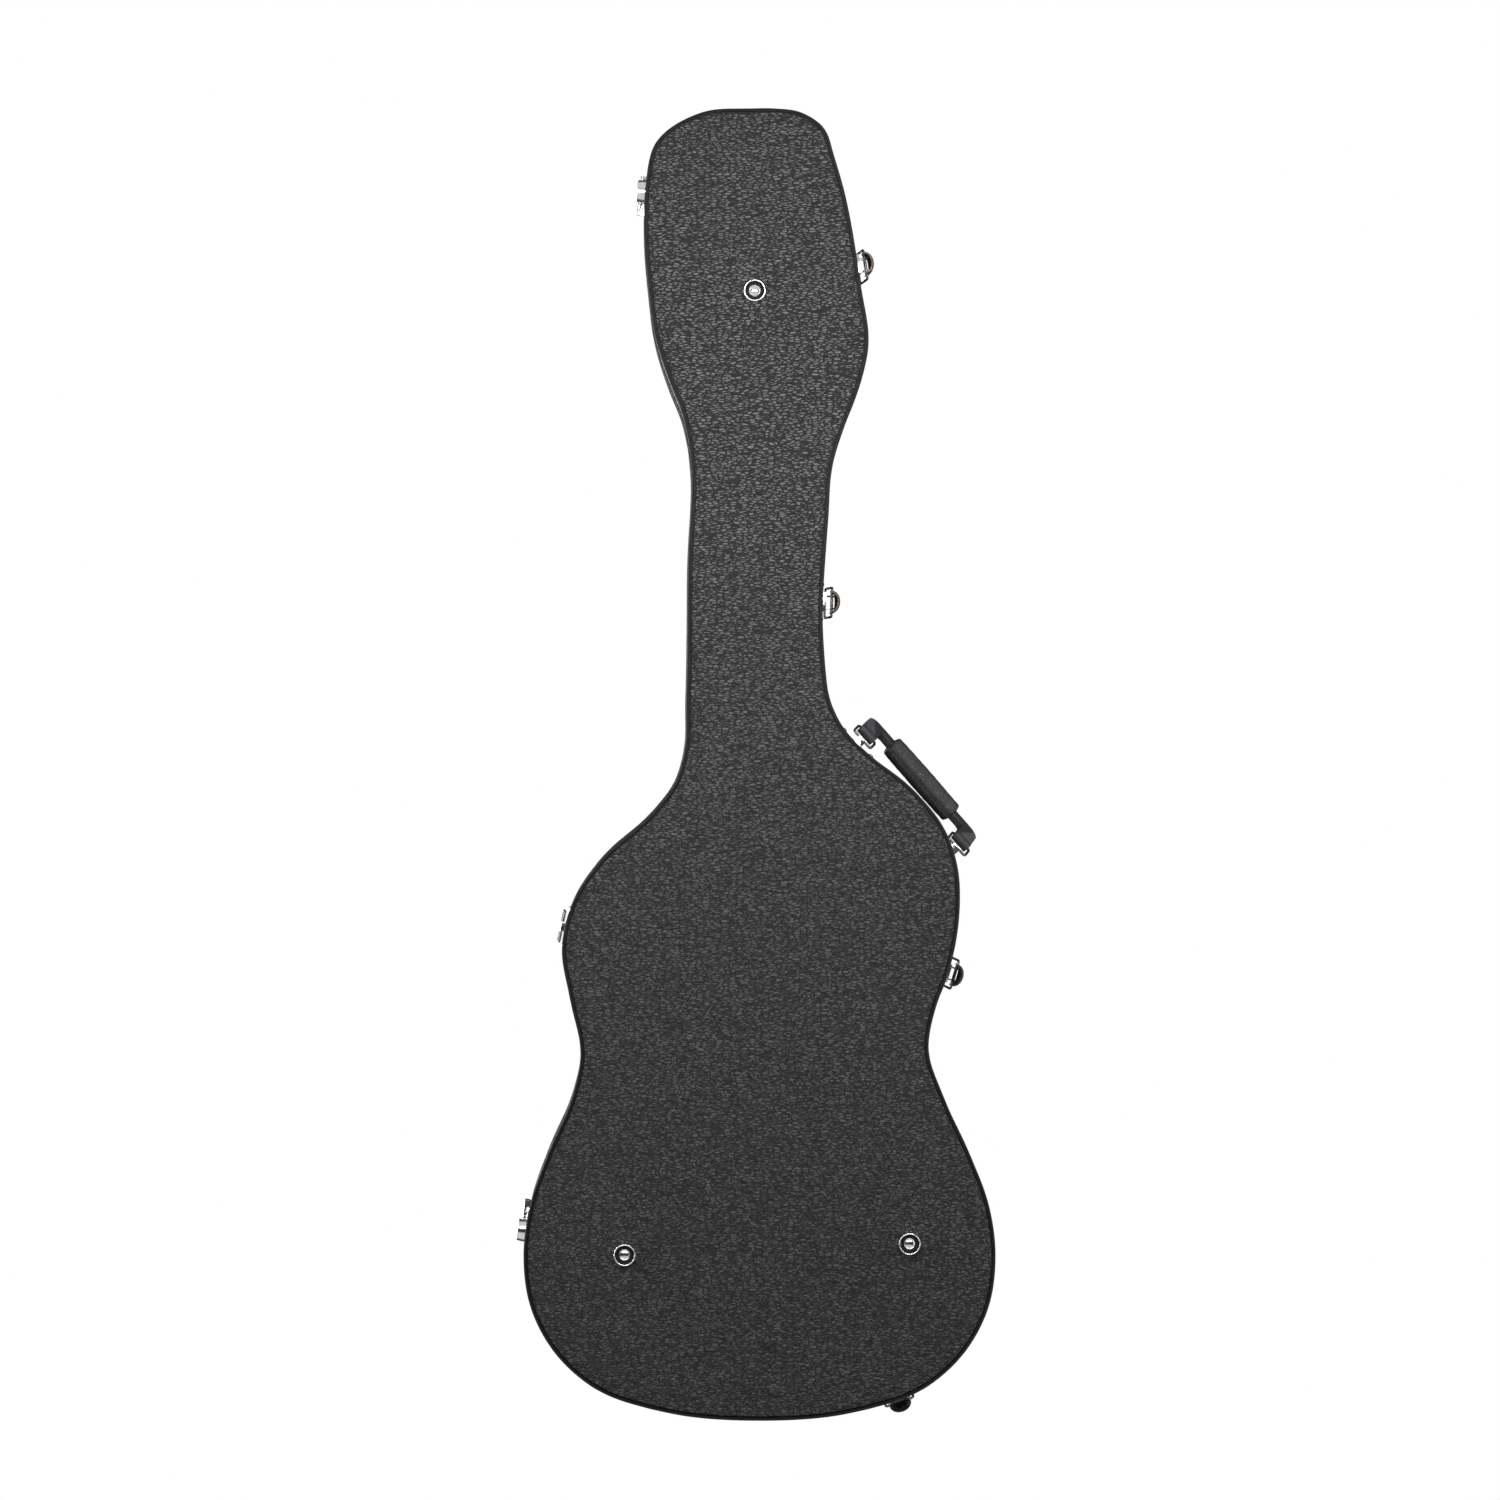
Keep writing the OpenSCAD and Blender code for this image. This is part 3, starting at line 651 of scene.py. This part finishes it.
VINYL = grained_vinyl("covering_vinyl", (0.0256, 0.0252, 0.0248), (1.75, 5.2, 1.75), 0.46, 0.52)
BINDING = binding("edge_binding", (0.0042, 0.0040, 0.0041), 0.5)
LIP = binding("lip_plastic", (0.018, 0.018, 0.019), 0.5)
CHROME = plated("nickel_plate", (0.86, 0.86, 0.87), 0.15)
WIRE = plated("wire_plate", (0.16, 0.16, 0.165), 0.3)
DARK_METAL = plated("dark_lever_metal", (0.085, 0.063, 0.047), 0.36, metallic=0.5)
RUBBER = binding("black_rubber", (0.004, 0.004, 0.004), 0.7)
PLUSH = crushed_plush("crushed_plush", (0.030, 0.030, 0.036))
ROLL = leather("strap_roll_leather", (0.014, 0.0132, 0.0138), 1.2, 0.42, 0.22)
STRAP = ribbed_leather("strap_leather", (0.085, 0.078, 0.092), handle_frame(), 1.3)
GRIP = leather("grip_leather", (0.016, 0.0155, 0.016), 1.9, 0.50, 0.42)
THREAD = thread_material("waxed_thread", (0.050, 0.048, 0.050))
RIBBON = thread_material("ribbon_weave", (0.012, 0.012, 0.013))


# ---- Shell ----


def bead(level, inward):
    """Section of the piping: a rounded strip that wraps the edge of a face, with a pressed line.

    inward is 1 where the case lies above the face and -1 where it lies below."""
    points = [(-5.8, 5.0), (0.0, 5.0), (0.8, 4.6), (0.8, 1.0)]
    points += arc((-0.3, 0.6), 1.1, 0, -90, 6)[1:]
    points += [(-0.7, -0.1), (-0.9, -0.3), (-1.4, -0.3), (-1.7, 0.4), (-1.8, 1.6), (-5.8, 1.6)]
    return [(out, level + inward * height * MM) for out, height in points]


def face_board(level, inward):
    """Section of a panel's edge, from the outer face round to the inner face."""
    points = [(-7.0, 0.0)] + arc((-3.4, 0.9), 0.9, -90, 0, 5) + [(-2.5, 1.6), (-2.5, 5.0), (-6.4, 5.0)]
    return [(out, level + inward * height * MM) for out, height in points]


def wall_ring(far, seam):
    """Section of a side wall, from its far edge to the seam, where the covering is turned over."""
    thick, turn = 6.0, 0.5
    towards_seam = math.copysign(turn * MM, seam - far)
    return [(0, far), (0, seam - towards_seam), (-turn, seam), (-thick, seam), (-thick, far)]


def hinge_free():
    """Which stations of the outline the valance strips cover: all but those at the hinges."""
    clearance = 1.8 * MM
    hinge_line = np.array(JOINTS["lid_hinge"]["axis"])
    covered = np.ones(len(outline), bool)
    for points in islands("hinge_pins"):
        middle = points.mean(0)[:2]
        half = np.ptp(points @ hinge_line) / 2
        covered &= np.linalg.norm(outline - middle, axis=1) > half + clearance
    return list(covered)


def valance_strip(low, high):
    """Section of the thin extruded strip along the seam, with a rolled edge and a raised rib."""
    tall = (high - low) / MM
    points = [(-0.05, 0.0), (0.9, 0.0), (1.0, 0.5), (1.0, tall * 0.36)]
    points += arc((0.95, tall * 0.5), 0.55, -70, 70, 5)
    points += [(1.0, tall * 0.64), (1.0, tall - 0.5), (0.8, tall), (-0.05, tall)]
    return [(out, low + height * MM) for out, height in points]


def lip_section(low, high):
    """Section of the lip that keys the lid, with its top edges rounded over."""
    points = [(-6.05, low), (-6.05, seam_z), (-6.7, seam_z + 0.2 * MM), (-6.7, high - 1.2 * MM)]
    points += [(-7.0, high - 0.3 * MM), (-8.2, high), (-9.3, high - 0.3 * MM)]
    points += [(-9.7, high - 1.2 * MM), (-9.7, low)]
    return points


def line_inside(wall):
    """Plush on the inner faces of a side wall, well behind its outer one."""
    depth = 4 * MM
    wall.data.materials.append(PLUSH)
    for face in wall.data.polygons:
        middle = np.array(face.center[:2])
        nearest = int(np.argmin(np.linalg.norm(outline - middle, axis=1)))
        if (outline[nearest] - middle) @ normals[nearest] > depth:
            face.material_index = 1


def make_wall(name, node, body, far, seam):
    """Side wall of the base or the lid, covered outside and lined inside."""
    line_inside(sweep(name, wall_ring(far, seam), VINYL, body, [node], "covering"))


def make_strip(name, node, body):
    """Valance strip of the base or the lid, with gaps at the hinges."""
    section = valance_strip(*heights(node))
    sweep(name, section, BINDING, body, [node], "piping", keep=hinge_free())


def make_shell():
    """The covered boards, walls, bindings, seam strips and the lip, all carried round the outline."""
    sweep("back_cover", face_board(back_z, 1), VINYL, "base", ["back_panel"], "covering", closed=False)
    sweep("lid_cover", face_board(top_z, -1), VINYL, "lid", ["lid_panel"], "covering", closed=False)
    sweep("back_binding", bead(back_z, 1), BINDING, "base", ["back_piping"], "piping")
    sweep("lid_binding", bead(top_z, -1), BINDING, "lid", ["lid_piping"], "piping")
    make_wall("base_side", "base_wall", "base", floor_z, seam_z)
    make_wall("lid_side", "lid_wall", "lid", ceiling_z, lid_z)
    make_strip("base_strip", "base_valance", "base")
    make_strip("lid_strip", "lid_valance", "lid")
    sweep("key_lip", lip_section(*heights("inner_lip")), LIP, "base", ["inner_lip"], "piping")


# ---- Padding ----


def make_padding():
    """The plush lining and foam of both halves, the accessory box, its lid and the lid's pull."""
    soft_block("floor_lining", "base_lining", "base", PLUSH, voxel=3.5, rounds=2)
    soft_block("body_foam", "body_surround", "base", PLUSH)
    soft_block("neck_foam", "neck_pads", "base", PLUSH)
    soft_block("head_foam", "head_surround", "base", PLUSH)
    soft_block("neck_rest", "neck_cradle", "base", PLUSH, voxel=2.0)
    soft_block("accessory_walls", "accessory_box", "base", PLUSH, voxel=1.2, rounds=4)
    soft_block("accessory_cover_board", "accessory_lid", "accessory_cover", PLUSH, voxel=1.2, rounds=4)
    soft_block("lid_plush", "lid_lining", "lid", PLUSH, voxel=3.0, rounds=2)
    soft_block("lid_body_cushion", "lid_body_pad", "lid", PLUSH, rounds=14, puff=0.8)
    soft_block("lid_neck_cushion", "lid_neck_pad", "lid", PLUSH, voxel=2.0, rounds=10, puff=0.5)
    make_ribbon()


def make_ribbon():
    """Woven ribbon folded into a pull tab: up one side, over and down the other."""
    low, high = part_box("accessory_pull")
    middle, half = (low.y + high.y) / 2, (high.y - low.y) / 2
    thick, columns = 0.35 * MM, 8
    top = high.z - half
    outer = [(middle - half, low.z)] + arc((middle, top), half, 180, 0, 10) + [(middle + half, low.z)]
    inner = [(middle + half - thick, low.z)] + arc((middle, top), half - thick, 0, 180, 10)
    profile = outer + inner + [(middle - half + thick, low.z)]
    size = len(profile)
    verts = [
        (low.x + (high.x - low.x) * i / columns, y, z)
        for i in range(columns + 1)
        for y, z in profile
    ]
    faces = [list(range(size)), list(range(columns * size, (columns + 1) * size))]
    faces += quads(columns + 1, size)
    obj = piece("ribbon_tab", verts, faces, RIBBON, "accessory_cover", ["accessory_pull"], "ribbon")


# ---- Feet ----


def foot_section(radius, height):
    """Cup foot: a rounded skirt, a thin rolled rim and a dished middle."""
    points = [(0.0, 0.0), (radius, 0.0), (radius, height * 0.25)]
    points += [(radius - 0.15, height * 0.55), (radius - 0.55, height - 0.9)]
    points += arc((radius - 1.05, height - 0.5), 0.5, 10, 170, 8)
    points += [(radius - 1.8, height - 1.4), (radius - 2.3, height - 2.8), (radius - 2.5, height - 3.9)]
    points += [(2.0, height - 4.0), (0.0, height - 4.0)]
    return points


def well_section(radius, height):
    """Rubber washer at the bottom of a cup, with a raised edge."""
    points = [(0.0, height - 0.4), (radius, height - 0.4), (radius, height + 0.3)]
    points += [(radius - 0.5, height + 0.5), (radius - 1.0, height + 0.2), (0.0, height + 0.2)]
    return points


def screw_section(radius, seat, rise):
    """Domed screw head on its seat."""
    edge, sunk, steps = 0.25, 0.3, 8
    points = [(0.0, seat - sunk), (radius * 0.98, seat - sunk), (radius, seat + edge)]
    for k in range(1, steps + 1):
        a = math.radians(90 * k / steps)
        points.append((radius * math.cos(a), seat + edge + (rise - edge) * math.sin(a)))
    return points


def foot_frames(node):
    """A frame for each foot of a node, with Z out of the case, and its radius and height in mm."""
    frames = []
    for points in islands(node):
        low, high = points.min(0), points.max(0)
        middle = (low + high) / 2
        if node == "back_feet":
            place = Matrix.Rotation(math.pi, 4, "X")
            place.translation = (middle[0], middle[1], high[2])
            frames.append((place, (high[0] - low[0]) / 2 / MM, (high[2] - low[2]) / MM))
        else:
            wall = wall_frame(middle)
            place = wall @ Matrix.Rotation(-math.pi / 2, 4, "X")
            local = np.array([wall.inverted() @ Vector(p) for p in points])
            frames.append((place, (high[2] - low[2]) / 2 / MM, local[:, 1].max() / MM))
    return frames


def make_feet():
    """The cup feet on the back and on the hinge side, each with a washer and a screw."""
    washer_gap, washer_depth = 2.4, 3.55
    head_radius, head_rise, seat_depth = 4.9, 3.1, 3.6
    for node, screws, name in (
        ("back_feet", "back_foot_screws", "back"),
        ("side_feet", "side_foot_screws", "side"),
    ):
        cups, wells, heads = [], [], []
        for place, radius, height in foot_frames(node):
            cups.append(lathe(foot_section(radius, height), place))
            washer = well_section(radius - washer_gap, height - washer_depth)
            wells.append(lathe(washer, place, 48))
            head = screw_section(head_radius, height - seat_depth, head_rise)
            heads.append(lathe(head, place, 40))
        piece(f"{name}_cups", *joined(cups), CHROME, "base", [node], "plating")
        piece(f"{name}_foot_wells", *joined(wells), RUBBER, "base", [], "plating")
        piece(f"{name}_screw_heads", *joined(heads), CHROME, "base", [screws], "plating")


# ---- Latches ----


def latch_frame(name):
    """Frame of one latch at the seam: X along the wall, Y out of it, Z up."""
    pivot = JOINTS[f"{name}_latch_lever_pivot"]
    along = Vector(pivot["axis"])
    place = Matrix((along, Vector((0, 0, 1)).cross(along), (0, 0, 1))).transposed().to_4x4()
    place.translation = Vector(pivot["pos_m"])
    return place


def local_box(node, place):
    """Lowest and highest corner of a node in a frame, in metres."""
    back = place.inverted()
    points = np.array([back @ v.co for v in NODES[node].data.vertices])
    return Vector(points.min(0)), Vector(points.max(0))


def lever_layer(place, low, high, across, steps, inset):
    """One skin of a lever, row by row from the pivot end to the tip."""
    half = (high.x - low.x) / 2
    rise = high.y - low.y
    root_share, crown_at = 0.61, 0.45
    drop, drop_from = 0.16, 0.7
    taper, taper_from = 0.10, 0.75
    square, rounding, rounded_at = 0.45, 0.40, 0.4
    verts = []
    for i in range(steps + 1):
        t = i / steps
        z = high.z + (low.z - high.z) * t
        lift = root_share + (1 - root_share) * math.sin(min(1, t / crown_at) * math.pi / 2)
        lift *= 1 - drop * max(0, (t - drop_from) / (1 - drop_from)) ** 2
        narrow = 1 - taper * max(0, (t - taper_from) / (1 - taper_from)) ** 2
        fullness = square + rounding * min(1, t / rounded_at)
        for k in range(across + 1):
            a = math.pi * k / across
            x = (half - inset) * narrow * math.cos(a)
            y = low.y + (rise * lift - inset) * math.sin(a) ** fullness
            verts.append(place @ Vector((x, y, z)))
    return verts


def lever_shell(place, low, high):
    """Scooped lever: half-round across, squarer and lower at the pivot end, narrower at the tip.

    The outer skin comes first, then the inner one; the number of corners in each is returned too."""
    across, steps, skin = 18, 16, 0.9 * MM
    row = across + 1
    layer = row * (steps + 1)
    verts = lever_layer(place, low, high, across, steps, 0)
    verts += lever_layer(place, low, high, across, steps, skin)
    faces = quads(steps + 1, row, round_row=False)
    faces += quads(steps + 1, row, base=layer, round_row=False)
    for i in range(steps):
        for k in (0, across):
            a = i * row + k
            faces.append((a, a + row, a + row + layer, a + layer))
    for i in (0, steps):
        for k in range(across):
            a = i * row + k
            faces.append((a, a + 1, a + 1 + layer, a + layer))
    return verts, faces, layer


def make_lever(name):
    """A lever, with a dark brownish metal inside its hollow and on its lower rim."""
    node = f"{name}_latch_lever"
    place = latch_frame(name)
    low, high = local_box(node, place)
    verts, faces, outer_count = lever_shell(place, low, high)
    obj = piece(f"{name}_lever_scoop", verts, faces, CHROME, f"{name}_lever", [node], "plating")
    obj.data.materials.append(DARK_METAL)
    # faces inside the hollow and on the lower rim get the dark brownish metal
    for face in obj.data.polygons:
        inside = sum(v >= outer_count for v in face.vertices) > 2
        lower_rim = face.normal.z < -0.9
        face.material_index = int(inside or lower_rim)


def make_loop(name):
    """Bent wire loop with rounded corners."""
    node = f"{name}_latch_loop"
    place = latch_frame(name)
    low, high = local_box(node, place)
    radius = wire_radius(node, place)
    pivot = place.inverted() @ Vector(JOINTS[f"{name}_latch_loop_pivot"]["pos_m"])
    half = (high.x - low.x) / 2 - radius
    bar = Vector((0, low.y + radius, high.z - radius))
    side = Vector((half, 0, 0))
    corners = [place @ p for p in (pivot - side, pivot + side, bar + side, bar - side)]
    bend = 3.2 * MM
    verts, faces = tube(rounded_path(corners, bend), radius, closed=True)
    piece(f"{name}_wire_loop", verts, faces, WIRE, f"{name}_loop", [node], "plating")


def wire_radius(node, place):
    """Radius of a loop's wire: half the height of its lower bar, read where the bar ends."""
    tolerance = 1e-5
    back = place.inverted()
    points = np.array([back @ v.co for v in NODES[node].data.vertices])
    tips = points[points[:, 0] > points[:, 0].max() - tolerance]
    lower = tips[tips[:, 2] < (tips[:, 2].min() + tips[:, 2].max()) / 2]
    return float(np.ptp(lower[:, 2]) / 2)


def make_latches():
    """The four latches: plate, keeper, lever and wire loop, and the lever pins."""
    for name in LATCHES:
        detail(f"{name}_latch_plate", "base", CHROME, width=0.45)
        detail(f"{name}_keeper", "lid", CHROME, width=0.4)
        make_lever(name)
        make_loop(name)
    recolor("latch_pins", CHROME)


def recolor(node, material):
    """Gives a CAD node that is kept as it is its material."""
    obj = NODES[node]
    obj.data.materials.clear()
    obj.data.materials.append(material)
    for face in obj.data.polygons:
        face.material_index = 0


# ---- Hinges and rivets ----


def make_hinges():
    """The hinges' leaves and pins, and every rivet of the case."""
    detail("hinge_base_leaves", "base", CHROME, width=0.25)
    detail("hinge_lid_leaves", "lid", CHROME, width=0.25)
    for node in ("hinge_pins", "base_rivets", "lid_rivets"):
        recolor(node, CHROME)


# ---- Handle ----


def make_handle():
    """The handle, the strap ring and the brackets that hold them."""
    place = handle_frame()
    make_strap(place)
    make_grip(place)
    for node in ("front_handle_bracket", "rear_handle_bracket", "strap_ring_bracket"):
        detail(node, "base", CHROME, width=0.3)
    for node, joint in (
        ("front_handle_ring", "handle_ring_pivot"),
        ("rear_handle_ring", "handle_ring_pivot"),
        ("strap_ring", "strap_ring_pivot"),
    ):
        make_ring(node, joint)


def make_strap(place):
    """The strap: pale ribbed leather where it bends, black leather at the rolls and beside the grip."""
    obj = detail("handle_strap", "handle", ROLL, width=0.9, segments=4)
    obj.data.materials.append(STRAP)
    low, high = local_box("handle_strap", place)
    back = place.inverted()
    roll_top = 4.6 * MM
    leg = 15 * MM
    slant = 0.35
    cuts = (
        (Vector((0, 0, roll_top)), Vector((0, 0, 1))),
        (Vector((low.x + leg, 0, 0)), Vector((1, 0, slant))),
        (Vector((high.x - leg, 0, 0)), Vector((1, 0, -slant))),
    )
    with edited(obj.data) as mesh:
        for point, normal in cuts:
            turned = place.to_3x3() @ normal.normalized()
            everything = mesh.verts[:] + mesh.edges[:] + mesh.faces[:]
            bmesh.ops.bisect_plane(mesh, geom=everything, plane_co=place @ point, plane_no=turned)
        for face in mesh.faces:
            spot = back @ face.calc_center_median()
            bare = leg - slant * spot.z
            bent = spot.x < low.x + bare or spot.x > high.x - bare
            face.material_index = int(spot.z > roll_top and bent)


def make_ring(node, joint_name):
    """Bent wire ring: the lower bar lies on the joint's axis."""
    bend, bar = 2.6 * MM, 1.6 * MM
    joint = JOINTS[joint_name]
    along = Vector(joint["axis"])
    origin = Vector(joint["pos_m"])
    points = np.array([v.co[:] for v in NODES[node].data.vertices])
    spans = (points - np.array(origin)) @ np.array(along)
    middle = origin + along * float((spans.min() + spans.max()) / 2)
    gaps = points - np.array(middle)
    gaps -= np.outer(gaps @ np.array(along), np.array(along))
    sizes = np.linalg.norm(gaps, axis=1)
    far = gaps[sizes > sizes.max() - bar].mean(0)
    radius = ring_radius(points, joint)
    reach = Vector(far).normalized() * (float(sizes.max()) - radius)
    half = along * (float(np.ptp(spans)) / 2 - radius)
    corners = [middle - half, middle + half, middle + half + reach, middle - half + reach]
    verts, faces = tube(rounded_path(corners, bend), radius, closed=True)
    body = "strap_loop" if node == "strap_ring" else "handle_rings"
    piece(node + "_wire", verts, faces, WIRE, body, [node], "plating")


def ring_radius(points, joint):
    """Radius of the bar round a joint's axis, from the corners that lie nearest to the axis."""
    along = np.array(joint["axis"])
    gaps = points - np.array(joint["pos_m"])
    gaps -= np.outer(gaps @ along, along)
    return float(np.linalg.norm(gaps, axis=1).min())


def make_grip(place):
    """Leather wrapped round the strap: swollen middle, rolled ends and a seam underneath."""
    low, high = local_box("handle_grip", place)
    half = (high.x - low.x) / 2
    radius = (high.y - low.y) / 2
    centre = Vector((0, 0, (low.z + high.z) / 2))
    rings, sides = 56, 40
    rolled, closing = 0.07, 0.75
    swelling = 0.045
    verts = []
    for i in range(rings + 1):
        t = -1 + 2 * i / rings
        end = max(0, (abs(t) - (1 - rolled)) / rolled)
        swell = 1 - swelling + swelling * math.cos(t * math.pi / 2)
        swell *= math.sqrt(1 - closing * end ** 2)
        for k in range(sides):
            a = 2 * math.pi * k / sides
            wrinkle = noise.noise(Vector((t * 9, math.cos(a) * 2.2, math.sin(a) * 2.2))) * 0.22 * MM
            seam = 0.5 * MM * math.exp(-((math.degrees(a) - 270) / 7) ** 2)
            r = radius * swell + wrinkle - seam
            verts.append(place @ (centre + Vector((t * half, r * math.cos(a), r * math.sin(a)))))
    faces = quads(rings + 1, sides)
    faces.append(list(range(sides)))
    faces.append(list(range(rings * sides, (rings + 1) * sides)))
    piece("grip_wrap", verts, faces, GRIP, "handle", ["handle_grip"], "covering")
    make_stitches(place, centre, half, radius)


def make_stitches(place, centre, half, radius):
    """Two rows of thread, one on each side of the grip's seam."""
    spacing, length, thread = 4.0 * MM, 2.5 * MM, 0.35 * MM
    seam, apart = 270, 12
    count = int(1.7 * half / spacing)
    parts = []
    for turn in (seam - apart, seam + apart):
        a = math.radians(turn)
        around = Vector((0, math.cos(a), math.sin(a)))
        for i in range(count):
            middle = centre + Vector(((i - (count - 1) / 2) * spacing, 0, 0)) + around * radius * 0.985
            path = [
                place @ (middle + Vector((reach * length / 2, 0, 0)) - around * drop * MM)
                for reach, drop in ((-1, 0.5), (-0.6, 0.0), (0.6, 0.0), (1, 0.5))
            ]
            parts.append(tube(path, thread, sides=8))
    piece("grip_stitches", *joined(parts), THREAD, "handle", [], "covering")


make_shell()
make_padding()
make_feet()
make_latches()
make_hinges()
make_handle()


# ---- Camera, lights and floor ----


def make_camera():
    """Looks straight up at the back of the case, with the head end at the top of the picture."""
    distance = 3.0
    foot = Vector((-0.0117, 0.0610))
    width_seen, sideways = 1.212, 0.046666667
    data = bpy.data.cameras.new("camera")
    data.sensor_width = 36
    data.lens = data.sensor_width * distance / width_seen
    data.shift_x = sideways
    obj = new_object("camera", data)
    obj.matrix_world = Matrix(((0, -1, 0), (-1, 0, 0), (0, 0, -1))).to_4x4()
    obj.location = (foot.x, foot.y, back_z - distance)
    bpy.context.scene.camera = obj


def area_light(name, place, target, size, power):
    """A softbox at a place that faces a target, with its size in metres and its power in watts."""
    data = bpy.data.lights.new(name, "AREA")
    data.shape = "RECTANGLE"
    data.size, data.size_y = size
    data.energy = power
    obj = new_object(name, data)
    obj.location = place
    obj.rotation_mode = "QUATERNION"
    obj.rotation_quaternion = (Vector(target) - Vector(place)).to_track_quat("-Z", "Y")
    obj.visible_camera = False


def sky_bands(g, height):
    """Bands of light and dark from straight below to straight above."""
    bands = [(0.0, 0.03), (0.30, 0.04), (0.42, 0.36), (0.52, 0.30), (0.64, 0.08), (0.88, 0.10), (1.0, 0.03)]
    lift = g.node("ShaderNodeMapRange")
    g.set(lift, Value=height, From_Min=-1)
    ramp = g.node("ShaderNodeValToRGB")
    g.set(ramp, Fac=lift.outputs[0])
    elements = ramp.color_ramp.elements
    for position, _ in bands[1:-1]:
        elements.new(position)
    for element, (position, level) in zip(elements, bands):
        element.position = position
        element.color = (level, level, level * 1.02, 1)
    return ramp.outputs[0]


def end_cards(g, along, height):
    """How much of a pale card is seen in a direction: at both ends of the case, below the horizon."""
    card = g.spread(g.math("ABSOLUTE", along), 0.22, 0.42, 0.0, 0.9)
    below = g.spread(height, 0.35, 0.0)
    return g.math("MULTIPLY", card, below)


def make_world():
    """White to the camera. To everything else bands of light and dark, as cards round a product give."""
    world = bpy.data.worlds.new("studio")
    bpy.context.scene.world = world
    world.use_nodes = True
    world.node_tree.nodes.clear()
    g = Graph(world.node_tree)
    ray = g.node("ShaderNodeLightPath").outputs
    split = g.node("ShaderNodeSeparateXYZ")
    g.set(split, Vector=g.node("ShaderNodeTexCoord").outputs["Generated"])
    along, height = split.outputs["X"], split.outputs["Z"]
    card = g.math("MULTIPLY", end_cards(g, along, height), ray["Is Glossy Ray"])
    around = g.node("ShaderNodeBackground")
    g.set(around, Color=g.blend(card, sky_bands(g, height), (0.8, 0.8, 0.82)))
    seen = g.node("ShaderNodeBackground")
    g.set(seen, Color=(1, 1, 1, 1))
    out = g.node("ShaderNodeOutputWorld")
    g.set(out, Surface=g.mixed_shader(ray["Is Camera Ray"], around.outputs[0], seen.outputs[0]))


def floor_material():
    """Pale and matt from above, clear from below."""
    s = Surface("pale_floor", (0.82, 0.82, 0.81), 0.7)
    side = s.node("ShaderNodeNewGeometry").outputs["Backfacing"]
    clear = s.node("ShaderNodeBsdfTransparent").outputs[0]
    out = s.tree.nodes["Material Output"]
    s.set(out, Surface=s.mixed_shader(side, s.shader.outputs[0], clear))
    return s.material


def make_floor():
    """Pale floor under the feet. It is open from below, so the back of the case can be seen."""
    size = 6.0
    data = bpy.data.meshes.new("floor")
    corners = [(-size, -size, 0), (size, -size, 0), (size, size, 0), (-size, size, 0)]
    data.from_pydata(corners, [], [(0, 1, 2, 3)])
    data.materials.append(floor_material())
    floor = new_object("floor", data)
    floor.visible_diffuse = False
    floor.visible_glossy = False
    floor.visible_shadow = False


bpy.context.scene.view_settings.view_transform = "Standard"
make_camera()
make_world()
make_floor()
area_light("head_softbox", (-0.40, 0.0, -1.10), (-0.28, 0, 0), (1.4, 0.35), 17)
area_light("hinge_side_softbox", (-0.1, 1.5, -0.15), (0, 0.1, 0.05), (1.8, 0.5), 27)
area_light("latch_side_softbox", (0.0, -1.4, -0.35), (0, -0.1, 0.05), (1.6, 0.4), 10)
area_light("top_softbox", (0.3, 1.4, 1.7), (0, 0, 0), (1.8, 1.2), 40)
